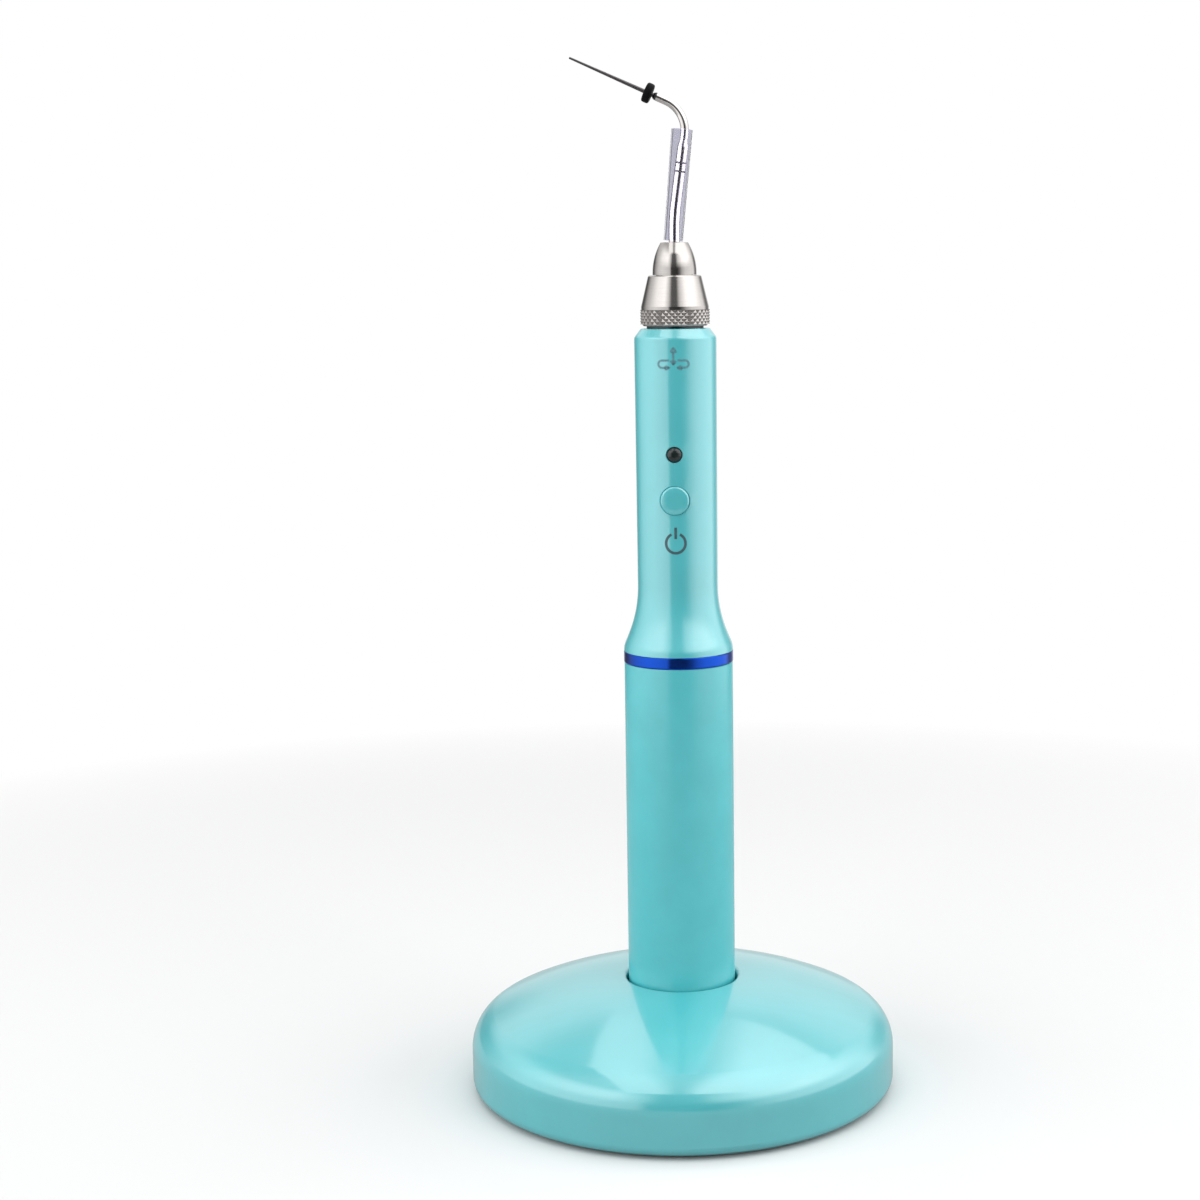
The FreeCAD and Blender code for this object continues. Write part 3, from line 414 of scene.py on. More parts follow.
def tip_steel():
    """Polished stainless tube, with faint drawing lines along it."""
    finish = Finish("tip_steel").set(metallic=1)
    lines = finish.noise(0.12, stretch=(1, 1, 0.05), detail=4)
    finish.colours(lines, (0.3, (0.56, 0.535, 0.525)), (0.7, (0.66, 0.635, 0.62)))
    finish.roughness(lines, 0.09, 0.17)
    return finish.bump(lines, 0.0006)


def needle_steel():
    """Ground stainless needle: grinding marks round it."""
    finish = Finish("needle_steel").set(metallic=1)
    marks = finish.noise(0.16, stretch=(1, 0.15, 1), detail=4, rough=0.7)
    finish.colours(marks, (0.3, (0.07, 0.065, 0.07)), (0.7, (0.13, 0.12, 0.125)))
    finish.roughness(marks, 0.28, 0.38)
    return finish.bump(marks, 0.0012)


def bead_dark():
    finish = Finish("bead_dark").set(ior=1.5)
    finish.colours(finish.noise(0.6), (0.3, (0.006, 0.006, 0.008)), (0.7, (0.014, 0.014, 0.016)))
    finish.roughness(finish.noise(0.3), 0.28, 0.4)
    return finish.bump(finish.noise(0.1), 0.004)


def bead_white():
    finish = Finish("bead_white").set(ior=1.5, subsurface=0.2, subsurface_scale=0.0008)
    finish.colours(finish.noise(0.6), (0.3, (0.74, 0.74, 0.72)), (0.7, (0.82, 0.82, 0.8)))
    finish.roughness(finish.noise(0.3), 0.3, 0.45)
    return finish.bump(finish.noise(0.1), 0.003)


def core_copper():
    return plain_metal("core_copper", (0.8, 0.36, 0.2), 0.2, 0.35)


def stopper_silicone():
    """Black silicone rubber, matt from its mould."""
    finish = Finish("stopper_silicone").set(ior=1.41, specular=0.1)
    finish.colours(finish.noise(0.7), (0.3, (0.0015, 0.0015, 0.002)), (0.7, (0.004, 0.004, 0.005)))
    finish.roughness(finish.noise(0.3), 0.42, 0.6)
    return finish.bump(finish.noise(0.08), 0.003)


def clear_sleeve():
    """Thin clear sleeve, faintly violet."""
    finish = Finish("clear_sleeve").set(ior=1.1, specular=0.3, transmission=1.0)
    finish.colours(finish.noise(3.0, stretch=(1, 1, 0.3)),
                   (0.3, (0.7, 0.695, 0.77)), (0.7, (0.76, 0.755, 0.82)))
    return finish.roughness(finish.noise(1.2), 0.0, 0.006)


def printed_ink():
    """Grey pad print on the handle."""
    finish = Finish("printed_ink").set(ior=1.5)
    finish.colours(finish.noise(0.25, detail=4),
                   (0.3, (0.035, 0.075, 0.09)), (0.7, (0.055, 0.11, 0.13)))
    finish.roughness(finish.noise(0.3), 0.3, 0.45)
    return finish.bump(finish.noise(0.1), 0.001)


def faded_ink():
    """The finer pictogram, printed in outline, looks greyer."""
    finish = Finish("faded_ink").set(ior=1.5)
    finish.colours(finish.noise(0.22, detail=4), (0.3, (0.07, 0.2, 0.24)), (0.7, (0.12, 0.3, 0.34)))
    finish.roughness(finish.noise(0.3), 0.3, 0.45)
    return finish.bump(finish.noise(0.1), 0.001)


def spindle_painted_shade():
    """Dark steel of the chuck's spindle: painted shade for the gap under the collar."""
    return brushed_metal("spindle_painted_shade", (0.07, 0.07, 0.075), 0.28, 0.4, 0.1, anisotropic=0.4)


def laser_mark():
    """Dark oxide where the laser marked the steel."""
    finish = Finish("laser_mark").set(metallic=0.6)
    finish.colours(finish.noise(0.1, detail=4),
                   (0.3, (0.06, 0.055, 0.055)), (0.7, (0.16, 0.15, 0.145)))
    finish.roughness(finish.noise(0.08), 0.4, 0.6)
    return finish.bump(finish.noise(0.06), 0.002)


FINISHES = (mint_gloss, mint_satin, dark_plastic, steel_screw, spring_steel, foot_rubber,
            ballast_steel, circuit_board, gold_contact, wire_insulation, cell_steel, cell_wrap,
            blue_anodised, plain_aluminium, switch_plunger, smoked_lens, led_chip, bush_brass,
            chuck_steel, knurl_steel, insulator, tip_steel, needle_steel, bead_dark, bead_white,
            core_copper, stopper_silicone, clear_sleeve, printed_ink, faded_ink, spindle_painted_shade,
            laser_mark)
MATERIALS = {finish.__name__: finish().material for finish in FINISHES}

for node in NODES.values():
    for i, packed in enumerate(node.data.materials):
        node.data.materials[i] = MATERIALS[packed.name]
# The spindle gets a dark steel as painted shade in the gap under the collar.
NODES["chuck_spindle"].data.materials[0] = MATERIALS["spindle_painted_shade"]


# --------------------------------------------------------------------- knurled collar
KNURL_FOOT = 0.35             # above the collar's lower face
KNURL_HEIGHT = 2.75
KNURL_DEPTH = 0.3
KNURL_RIDGES = 33             # each way
KNURL_ROWS = 5                # half diamonds, bottom to top
KNURL_SHARP = 12              # degrees between faces from which an edge is drawn sharp
KNURL_PLAY = 0.02             # the body stays this much inside the band of knurling
COLLAR_BORES = (4.42, 3.62)   # below and above the ledge inside
COLLAR_LEDGE = 157.2
COLLAR_FOOT_INSET = 0.57      # the lower face, in from the knurl's crests
COLLAR_CONE_INSET = 0.19      # the cone's lower end
COLLAR_TOP_INSET = 1.62       # the cone's upper end
COLLAR_STEP = 0.6             # height of the straight step above the knurl


def knurled_band(radius, bottom):
    """Two crossed sets of V grooves leave diamond pyramids.

    The band is a grid whose points are by turns low and high.
    """
    columns = 2 * KNURL_RIDGES
    inner = radius - 2 * KNURL_DEPTH
    vertices, faces = [], []
    levels = [(inner, 0)] + [(None, row) for row in range(KNURL_ROWS + 1)] + [(inner, KNURL_ROWS)]
    for level_radius, row in levels:
        for column in range(columns):
            low = (column + row) % 2 == 0
            here = level_radius or (radius - KNURL_DEPTH if low else radius)
            angle = FULL_TURN * column / columns
            height = bottom + KNURL_HEIGHT * row / KNURL_ROWS
            vertices.append((here * math.cos(angle), here * math.sin(angle), height))
    for level in range(len(levels)):
        above = (level + 1) % len(levels)
        for column in range(columns):
            onward = (column + 1) % columns
            a, b = level * columns + column, level * columns + onward
            c, d = above * columns + onward, above * columns + column
            patterned = 0 < level < len(levels) - 2
            if not patterned:
                faces.append((a, b, c, d))
            elif (column + levels[level][1]) % 2 == 0:
                faces += [(a, b, c), (a, c, d)]
            else:
                faces += [(a, b, d), (b, c, d)]
    return vertices, faces


def collar_body(low, high):
    """The collar without its knurl: a lower chamfer, the cone and a rounded top edge."""
    radius = high.x
    bottom, top = low.z, high.z
    knurl_bottom = bottom + KNURL_FOOT
    knurl_top = knurl_bottom + KNURL_HEIGHT
    root = radius - KNURL_DEPTH - KNURL_PLAY
    foot = radius - COLLAR_CONE_INSET
    wide, narrow = COLLAR_BORES
    return lathe([
        (wide, bottom), (radius - COLLAR_FOOT_INSET, bottom, 0.08),
        (root, knurl_bottom + 0.05), (root, knurl_top - KNURL_PLAY),
        (foot, knurl_top - KNURL_PLAY, 0.05), (foot, knurl_top + COLLAR_STEP, 0.25),
        (radius - COLLAR_TOP_INSET, top, 0.45), (narrow, top), (narrow, COLLAR_LEDGE),
        (wide, COLLAR_LEDGE),
    ], segments=160, arc_steps=8)


def make_collar():
    """The chuck's collar: a turned cone, and a band of diamond knurling at its foot."""
    low, high = corners("knurled_collar")
    knurl = knurled_band(high.x, low.z + KNURL_FOOT)
    # The knurled band gets a darker nickel: painted shade for its pits.
    band = add_piece("knurled_band", *knurl, "chuck", "chuck_steel", "knurl_steel", KNURL_SHARP)
    body = add_piece("collar_cone", *collar_body(low, high), "chuck", "chuck_steel")
    for piece in (band, body):
        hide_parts("knurled_collar")


# ---------------------------------------------------------------------- tip's pieces
STOPPER_EDGE = 0.38           # rounding between a face and the rim
STOPPER_DISH = 0.08           # how far the middle of a face lies below its outer part
STOPPER_HOLE = 0.46
STOPPER_LIP = 0.25            # width of the lip round the hole
STOPPER_FACE = 0.7            # the faces are dished from here inwards, measured from the rim
STOPPER_CROWN = 0.05          # how far the rim swells in the middle


def make_stopper():
    """Soft disc on the needle: crowned rim, slightly dished faces, a lip round the hole."""
    low, high = corners("depth_stopper")
    foot, point = long_axis("plugger_needle")
    heading = (point - foot).normalized()
    radius = (high.y - low.y) / 2
    thickness = ((high.x - low.x) - 2 * radius * abs(heading.z)) / abs(heading.x)
    half = thickness / 2
    lip = STOPPER_HOLE + STOPPER_LIP
    face = radius - STOPPER_FACE
    rim = radius - STOPPER_CROWN
    outline = [
        (STOPPER_HOLE, -half + STOPPER_DISH), (lip, -half + STOPPER_DISH, 0.1), (face, -half, 0.3),
        (rim, -half, STOPPER_EDGE), (radius, 0, 1.2), (rim, half, STOPPER_EDGE),
        (face, half, 0.3), (lip, half - STOPPER_DISH, 0.1), (STOPPER_HOLE, half - STOPPER_DISH),
    ]
    vertices, faces = lathe(outline, segments=72)
    vertices = lay_along(vertices, (low + high) / 2, heading)
    piece = add_piece("silicone_stopper", vertices, faces, "stopper", "stopper_silicone")
    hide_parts("depth_stopper")


SLEEVE_WALL = 0.35
SLEEVE_TAPER = 0.21           # how much narrower its radius is at the foot
SLEEVE_EDGE = 0.12            # rounding of its ends
SLEEVE_SEGMENTS = 320         # many, because it is seen through


def make_sleeve():
    """The clear sleeve: an evenly thin tube with softened ends."""
    foot, top = long_axis("heat_sleeve")
    heading = (top - foot).normalized()
    length = (top - foot).length
    low, high = corners("heat_sleeve")
    radius_top = (high.y - low.y) / 2
    radius_foot = radius_top - SLEEVE_TAPER
    outline = [
        (radius_foot - SLEEVE_WALL, 0, SLEEVE_EDGE), (radius_foot, 0, SLEEVE_EDGE),
        (radius_top, length, SLEEVE_EDGE), (radius_top - SLEEVE_WALL, length, SLEEVE_EDGE),
    ]
    vertices, faces = lathe(outline, segments=SLEEVE_SEGMENTS)
    vertices = lay_along(vertices, foot, heading)
    piece = add_piece("clear_tip_sleeve", vertices, faces, "sleeve", "clear_sleeve")
    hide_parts("heat_sleeve")


def tube_centre(height):
    """The middle of the tip's tube at a height and half its width, found from both sides."""
    far = 20.0
    right = surface_point("tip_tube", Vector((far, 0, height)), Vector((-1, 0, 0)))
    left = surface_point("tip_tube", Vector((-far, 0, height)), Vector((1, 0, 0)))
    return (left + right) / 2, (right.x - left.x) / 2


MARK_HEIGHTS = (180.5, 182.1)
MARK_WIDTH = 0.3
MARK_SUNK = 0.1               # how far a band reaches into the tube
MARK_PROUD = 0.012            # how far it stands out of it


def make_tip_marks():
    """Plain dark bands that tell the tip's size."""
    for number, height in enumerate(MARK_HEIGHTS, start=1):
        centre, half_width = tube_centre(height)
        above, _ = tube_centre(height + 1)
        heading = (above - centre).normalized()
        radius = half_width * heading.z
        inner, outer = radius - MARK_SUNK, radius + MARK_PROUD
        outline = [(inner, 0), (outer, 0), (outer, MARK_WIDTH), (inner, MARK_WIDTH)]
        vertices, faces = lathe(outline, segments=64)
        vertices = lay_along(vertices, centre, heading)
        add_piece(f"tip_size_band_{number}", vertices, faces, "tip", "tip_steel", "laser_mark")


# -------------------------------------------------------------------- printed symbols
PRINT_STEP = 0.12             # length of a piece of a printed line
PRINT_PROUD = 0.015
HANDLE_RADIUS = 7.9
OUTSIDE_HANDLE = 15           # radius from which rays are sent at the handle
POWER_DROP = 8.2              # the power symbol's middle, below the button's
POWER_RADIUS = 1.89
POWER_GAP = 25                # degrees either side of the opening at its top
POWER_STROKE = 0.52
TURN_RISE = 18.0              # the turn-and-pull symbol's middle, above the lens's
TURN_STROKE = 0.42
LOOP_REACH = 2.93             # how far its two loops reach sideways
LOOP_RADIUS = 0.695
LOOP_TOP = -0.08
ARROW_TIP, ARROW_FOOT = 0.75, 1.5
ARROW_HALF = 0.32             # half the width of the loops' arrowheads


def on_handle(across, height, lift):
    """A point on the handle's front, across millimetres round it from the middle."""
    angle = across / HANDLE_RADIUS
    outward = Vector((math.sin(angle), -math.cos(angle), 0))
    start = outward * OUTSIDE_HANDLE + Vector((0, 0, height))
    return surface_point("handle_shell", start, -outward) + outward * lift


def finer(line):
    """The same line with points no further apart than the printing step."""
    points = [Vector(line[0])]
    for end in line[1:]:
        start, end = points[-1], Vector(end)
        steps = max(1, math.ceil((end - start).length / PRINT_STEP))
        points += [start.lerp(end, step / steps) for step in range(1, steps + 1)]
    return points


def arc(centre, radius, start, end):
    """Points on a circle; angles in degrees, anticlockwise from the right."""
    steps = max(4, math.ceil(abs(math.radians(end - start)) * radius / PRINT_STEP))
    angles = [math.radians(start + (end - start) * step / steps) for step in range(steps + 1)]
    return [(centre[0] + radius * math.cos(a), centre[1] + radius * math.sin(a)) for a in angles]


def stroke(line, width, centre_height):
    """A printed line: a thin strip that follows the handle's skin, closed all round."""
    points = finer(line)
    vertices, faces = [], []
    for i, point in enumerate(points):
        before = points[max(i - 1, 0)]
        after = points[min(i + 1, len(points) - 1)]
        along = (after - before).normalized()
        side = Vector((-along.y, along.x))
        for offset in (-0.5, 0, 0.5):
            place = point + side * (offset * width)
            for lift in (-PRINT_PROUD, PRINT_PROUD):
                vertices.append(on_handle(place.x, centre_height + place.y, lift))
    ring = (0, 1, 3, 5, 4, 2)
    for i in range(len(points) - 1):
        for k, here in enumerate(ring):
            onward = ring[(k + 1) % len(ring)]
            faces.append((6 * i + here, 6 * i + onward, 6 * (i + 1) + onward, 6 * (i + 1) + here))
    last = 6 * (len(points) - 1)
    for base in (0, last):
        faces += [(base, base + 1, base + 3, base + 2), (base + 2, base + 3, base + 5, base + 4)]
    return vertices, faces


def print_symbol(name, lines, width, centre_height, ink):
    """Several printed lines as one piece on the handle."""
    vertices, faces = [], []
    for line in lines:
        more, their_faces = stroke(line, width, centre_height)
        faces += [tuple(index + len(vertices) for index in face) for face in their_faces]
        vertices += more
    add_piece(name, vertices, faces, "handle", "mint_gloss", ink)


def make_symbols():
    """A power symbol under the button, and a turn-and-pull symbol near the chuck."""
    button = middle("power_button").z
    centre = 0.1
    circle = arc((centre, 0), POWER_RADIUS, 90 + POWER_GAP, 450 - POWER_GAP)
    bar = [(centre, 0.85), (centre, 3.07)]
    print_symbol("power_symbol", [circle, bar], POWER_STROKE, button - POWER_DROP, "printed_ink")

    lens = middle("indicator_lens").z
    middle_height = LOOP_TOP - LOOP_RADIUS
    bottom = middle_height - LOOP_RADIUS
    stem = [(0, -0.9), (0, 1.5)]
    head = [(-0.5, 1.5), (0, 2.3), (0.5, 1.5), (-0.5, 1.5)]
    fork = [(-0.5, -0.15), (0, -0.85), (0.5, -0.15)]
    lines = [stem, head, fork]
    loop = arc((LOOP_REACH - LOOP_RADIUS, middle_height), LOOP_RADIUS, 90, -90)
    for side in (-1, 1):
        bend = [(side * x, y) for x, y in loop]
        foot = side * ARROW_FOOT
        lines.append([(side * 0.8, LOOP_TOP)] + bend + [(foot, bottom)])
        lines.append([(foot, bottom + ARROW_HALF), (side * ARROW_TIP, bottom),
                      (foot, bottom - ARROW_HALF), (foot, bottom + ARROW_HALF)])
    print_symbol("turn_and_pull_symbol", lines, TURN_STROKE, lens + TURN_RISE, "faded_ink")


# ---------------------------------------------------------------------------- button
BUTTON_INSET = 0.25           # the cap, in from its flange: it nearly fills the handle's hole
BUTTON_FLANGE = 0.45          # the flange's thickness
BUTTON_EDGE = 0.42            # rounding of the cap's edge
BUTTON_CROWN = 0.12           # how far the middle stands above the edge
BUTTON_FLAT = 1.1             # the crown reaches its full height this far in from the edge


def make_button():
    """The button's cap: softly rounded, standing proud, close in its hole."""
    low, high = corners("power_button")
    flange = (high.x - low.x) / 2
    edge = flange - BUTTON_INSET
    height = high.y - low.y
    outline = [(0, 0), (flange, 0), (flange, BUTTON_FLANGE), (edge, BUTTON_FLANGE),
               (edge, height - BUTTON_CROWN, BUTTON_EDGE), (edge - BUTTON_FLAT, height, 3.0),
               (0, height)]
    vertices, faces = lathe(outline, segments=96, arc_steps=10)
    vertices = lay_along(vertices, Vector((0, high.y, (low.z + high.z) / 2)), Vector((0, -1, 0)))
    piece = add_piece("soft_button_cap", vertices, faces, "button", "mint_gloss")
    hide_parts("power_button")


# ------------------------------------------------------- springs and the coupling's thread
SPRING_TURNS = 3
SPRING_WIRE = 0.12
STEPS_A_TURN = 48
WIRE_SIDES = 10


def helix(section, centre, low, high, turns):
    """A closed strip that climbs round a centre, with a section of (radius, height) points."""
    steps = round(turns * STEPS_A_TURN)
    count = len(section)
    vertices, faces = [], []
    for step in range(steps + 1):
        angle = FULL_TURN * step / STEPS_A_TURN
        height = low + (high - low) * step / steps
        for radius, rise in section:
            vertices.append((centre.x + radius * math.cos(angle),
                             centre.y + radius * math.sin(angle), height + rise))
    for step in range(steps):
        for side in range(count):
            here, onward = step * count + side, step * count + (side + 1) % count
            faces.append((here, here + count, onward + count, onward))
    faces.append(tuple(range(count)))
    faces.append(tuple(reversed(range(steps * count, (steps + 1) * count))))
    return vertices, faces


def make_springs():
    """The springs under the charging pins, as coils of wire riding on the base."""
    for place in ("centre", "side"):
        node = f"charge_spring_{place}"
        low, high = corners(node)
        centre = middle(node)
        radius = (high.y - low.y) / 2 - SPRING_WIRE
        wire = [(radius + SPRING_WIRE * math.cos(angle), SPRING_WIRE * math.sin(angle))
                for angle in (FULL_TURN * side / WIRE_SIDES for side in range(WIRE_SIDES))]
        coil = helix(wire, centre, low.z + SPRING_WIRE, high.z - SPRING_WIRE, SPRING_TURNS)
        piece = add_piece(f"pin_spring_{place}", *coil, "base", "spring_steel")
        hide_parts(node)
        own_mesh(piece)


THREAD_ROOT = 9.0
THREAD_ENDS = (80.3, 84.05)   # where the thread's root is turned down
THREAD_RUN_OUT = 0.2          # length of the cone at each end of the root
THREAD_TURNS = 2.75           # at 1 mm a turn
THREAD_LEAD = 0.5             # the ridge starts this far above the root's lower end
RIDGE_FOOT, RIDGE_CREST = 0.42, 0.05    # half widths of the ridge
RIDGE_PLAY = 0.03             # how much lower the ridge stays than the sleeve's full radius
RIDGE_SUNK = 0.02             # how far the ridge reaches into the root
GROOVE_RADIUS = 8.75
GROOVE_ENDS = (84.3, 85.2)
COUPLING_NOSE_INSET = 0.05    # the sleeve's lower end, in from its full radius
COUPLING_NOSE_EDGE = 0.4
COUPLING_BORES = (7.3, 6.6)   # below and above the contact board
COUPLING_LEDGE = 82.52
SPIGOT_RADIUS = 8.32          # the upper part, which sits in the handle
SPIGOT_FOOT = 88.34


def make_coupling():
    """The sleeve that screws into the barrel: its body with the seal's groove, and its thread."""
    low, high = corners("coupling_sleeve")
    full = high.x
    nose = full - COUPLING_NOSE_INSET
    below, above = THREAD_ENDS
    groove_low, groove_high = GROOVE_ENDS
    wide, narrow = COUPLING_BORES
    body = lathe([
        (wide, low.z), (nose, low.z, COUPLING_NOSE_EDGE), (nose, below),
        (THREAD_ROOT, below + THREAD_RUN_OUT), (THREAD_ROOT, above - THREAD_RUN_OUT), (full, above),
        (full, groove_low), (GROOVE_RADIUS, groove_low), (GROOVE_RADIUS, groove_high),
        (full, groove_high), (full, SPIGOT_FOOT), (SPIGOT_RADIUS, SPIGOT_FOOT),
        (SPIGOT_RADIUS, high.z), (narrow, high.z), (narrow, COUPLING_LEDGE), (wide, COUPLING_LEDGE),
    ], segments=144)
    root, crest = THREAD_ROOT - RIDGE_SUNK, full - RIDGE_PLAY
    ridge = [(root, -RIDGE_FOOT), (crest, -RIDGE_CREST), (crest, RIDGE_CREST), (root, RIDGE_FOOT)]
    start = below + THREAD_LEAD
    thread = helix(ridge, Vector((0, 0)), start, start + THREAD_TURNS, THREAD_TURNS)
    for name, shape in (("coupling_body", body), ("coupling_thread", thread)):
        piece = add_piece(name, *shape, "handle", "plain_aluminium")
        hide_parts("coupling_sleeve")


make_collar()
make_coupling()
make_springs()
make_stopper()
make_sleeve()
make_tip_marks()
make_symbols()
make_button()

# ------------------------------------------------------------------- stage and light
# Lengths from here on are in metres.
FLOOR_RADIUS = 0.42
FLOOR_SIDES = 96
FLOOR_LIFT = 0.00001          # keeps the floor that is seen above the one that throws light back
FADE = (0.10, 0.36)           # from the middle: where the floor turns into the background
FADE_POWER = 3
PAPER_SEEN, PAPER_BOUNCE = 0.8, 0.45    # greys of the floor in view and of the one in its place
BACKDROP_RADIUS = 3.2
TENT_RADIUS = 3.0
TENT_FOOT = -40               # the tent's lowest elevation
PATCH_STEP = 5                # degrees between the points of a sphere
SIDE_LIGHT = 2.35
SIDE_HEIGHTS = (-0.15, 0.62)
SIDE_DISTANCE = 0.7
LEFT_LAMP, RIGHT_LAMP = (-110, -20), (41, 129)    # azimuths in degrees from -Y towards +X
TOP_LIGHT = 1.7
TOP_HEIGHT = 0.95
TOP_SIZE = 1.5
TOP_PLACE = Vector((0.1, -0.05, TOP_HEIGHT))
# The overhead sheet, cut off on the left and slanting at the back, in parts of its height.
SHEET_OUTLINE = ((-0.32, 1.28), (-0.44, -0.15), (-0.62, -1.0), (1.3, -1.0), (1.3, 0.5),
                 (1.06, 0.455), (-0.2, 1.25))
LEFT_SHEET, RIGHT_SHEET = 2.2, 2.6
SHEET_ACROSS = (-0.05, 0.3)   # where its brightness goes from the left value to the right one
SHEET_BACKWARD = (0.0, 1.2)   # where it fades towards the back
BACK_SHARE = 0.55
DIM_LEFT, DIM_RIGHT = (-0.17, -0.03), (0.04, 0.19)    # where it dims towards the middle
DIM_MIDDLE = 0.25             # the share of its brightness it keeps there
ROOM = 0.06
# How bright the tent round the table is, by azimuth in degrees from -Y towards +X.
LOW_WALL = ((-180, 0.9), (-163, 0.8), (-155, 0.2), (-140, 0.12), (-128, 0.3), (-112, 0.8),
            (-90, 1.35), (-65, 1.6), (-40, 1.45), (-21, 1.2), (-15, 0.1), (18, 0.06), (30, 0.3),
            (42, 0.9), (62, 1.5), (95, 1.7), (120, 1.6), (130, 0.7), (138, 0.3), (152, 0.3),
            (163, 0.8), (180, 0.9))
HIGH_WALL = ((-180, 1.15), (-150, 1.1), (-128, 1.0), (-100, 1.3), (-70, 2.2), (-36, 2.5),
             (-20, 1.3), (-10, 0.2), (10, 0.2), (21, 1.3), (45, 2.5), (75, 3.0), (100, 2.4),
             (123, 1.5), (140, 1.1), (180, 1.15))
WALLS_MEET = (13, 25)         # elevations between which the low wall turns into the high one
WALLS_FADE = (36, 48)         # elevations between which the high wall fades towards the roof
ROOF_SHARE = 0.42             # how much of the high wall's brightness the roof keeps


def staged(name, vertices, faces, material):
    """A mesh that belongs to the stage and not to the object."""
    mesh = bpy.data.meshes.new(name)
    mesh.from_pydata(vertices, [], faces)
    mesh.materials.append(material)
    thing = bpy.data.objects.new(name, mesh)
    bpy.context.scene.collection.objects.link(thing)
    return thing


def seen_by(thing, camera=False, reflections=False):
    """Leaves a thing in the camera's view or in reflections only; it casts no shadow or light."""
    thing.visible_camera = camera
    thing.visible_glossy = reflections
    thing.visible_transmission = camera or reflections
    thing.visible_diffuse = False
    thing.visible_shadow = False
    thing.visible_volume_scatter = False


def glow(name, strength):
    """A material that only shines."""
    material = bpy.data.materials.new(name)
    material.use_nodes = True
    tree = material.node_tree
    tree.nodes.remove(tree.nodes["Principled BSDF"])
    emission = tree.nodes.new("ShaderNodeEmission")
    emission.inputs["Strength"].default_value = strength
    tree.links.new(emission.outputs[0], tree.nodes["Material Output"].inputs["Surface"])
    return material


def ramp_along(tree, axis, start, end, low, high):
    """A number that goes from low to high between two places on an axis, in metres."""
    place = tree.nodes.new("ShaderNodeTexCoord")
    parts = tree.nodes.new("ShaderNodeSeparateXYZ")
    tree.links.new(place.outputs["Object"], parts.inputs[0])
    return map_range(tree, parts.outputs[axis], start, end, low, high)


def calculated(tree, operation, first, second):
    """The outcome of a sum on two numbers, each a node's output or a constant."""
    node = tree.nodes.new("ShaderNodeMath")
    node.operation = operation
    for socket, value in zip(node.inputs, (first, second)):
        if isinstance(value, (int, float)):
            socket.default_value = value
        else:
            tree.links.new(value, socket)
    return node.outputs[0]


def floor_material():
    """Pale matt paper that turns into the white background away from the object."""
    material = glow("pale_floor", 1.0)
    tree = material.node_tree
    paper = tree.nodes.new("ShaderNodeBsdfDiffuse")
    paper.inputs["Color"].default_value = (PAPER_SEEN, PAPER_SEEN, PAPER_SEEN, 1)
    place = tree.nodes.new("ShaderNodeTexCoord")
    distance = tree.nodes.new("ShaderNodeVectorMath")
    distance.operation = "LENGTH"
    tree.links.new(place.outputs["Object"], distance.inputs[0])
    outward = map_range(tree, distance.outputs["Value"], *FADE, 0, 1)
    blend = tree.nodes.new("ShaderNodeMixShader")
    tree.links.new(calculated(tree, "POWER", outward, FADE_POWER), blend.inputs["Fac"])
    tree.links.new(paper.outputs[0], blend.inputs[1])
    tree.links.new(tree.nodes["Emission"].outputs[0], blend.inputs[2])
    tree.links.new(blend.outputs[0], tree.nodes["Material Output"].inputs["Surface"])
    return material


def floor_ring(radius, height=0.0):
    """Points on a level circle."""
    angles = [FULL_TURN * k / FLOOR_SIDES for k in range(FLOOR_SIDES)]
    return [(radius * math.cos(angle), radius * math.sin(angle), height) for angle in angles]


def make_floor():
    """Paper that throws light back, and over it a pale floor that only the camera sees."""
    plain = bpy.data.materials.new("floor_paper")
    plain.use_nodes = True
    shader = plain.node_tree.nodes["Principled BSDF"]
    shader.inputs["Base Color"].default_value = (PAPER_BOUNCE, PAPER_BOUNCE, PAPER_BOUNCE, 1)
    shader.inputs["Roughness"].default_value = 0.9
    shader.inputs["Specular IOR Level"].default_value = 0
    disc = [tuple(range(FLOOR_SIDES))]
    bounce = staged("floor", floor_ring(FLOOR_RADIUS), disc, plain)
    bounce.visible_camera = False
    inner = staged("floor_seen", floor_ring(FLOOR_RADIUS, FLOOR_LIFT), disc, floor_material())
    rings = floor_ring(FLOOR_RADIUS) + floor_ring(BACKDROP_RADIUS)
    faces = [(k, (k + 1) % FLOOR_SIDES, FLOOR_SIDES + (k + 1) % FLOOR_SIDES, FLOOR_SIDES + k)
             for k in range(FLOOR_SIDES)]
    beyond = staged("floor_beyond", rings, faces, glow("white_floor", 1.0))
    for sheet in (inner, beyond):
        seen_by(sheet, camera=True)


def patch(azimuths, elevations, radius):
    """Part of a sphere; azimuths in degrees from -Y towards +X."""
    columns = round((azimuths[1] - azimuths[0]) / PATCH_STEP)
    rows = round((elevations[1] - elevations[0]) / PATCH_STEP)
    vertices = []
    for row in range(rows + 1):
        rise = math.radians(elevations[0] + (elevations[1] - elevations[0]) * row / rows)
        level = radius * math.cos(rise)
        for column in range(columns + 1):
            round_z = math.radians(azimuths[0] + (azimuths[1] - azimuths[0]) * column / columns)
            vertices.append((level * math.sin(round_z), -level * math.cos(round_z),
                             radius * math.sin(rise)))
    across = columns + 1
    faces = []
    for row in range(rows):
        for k in range(row * across, row * across + columns):
            faces.append((k, k + 1, k + across + 1, k + across))
    return vertices, faces


def make_backdrop():
    """A white shell all round that only the camera sees."""
    vertices, faces = patch((0, 360), (-90, 90), BACKDROP_RADIUS)
    seen_by(staged("backdrop", vertices, faces, glow("white_background", 1.0)), camera=True)


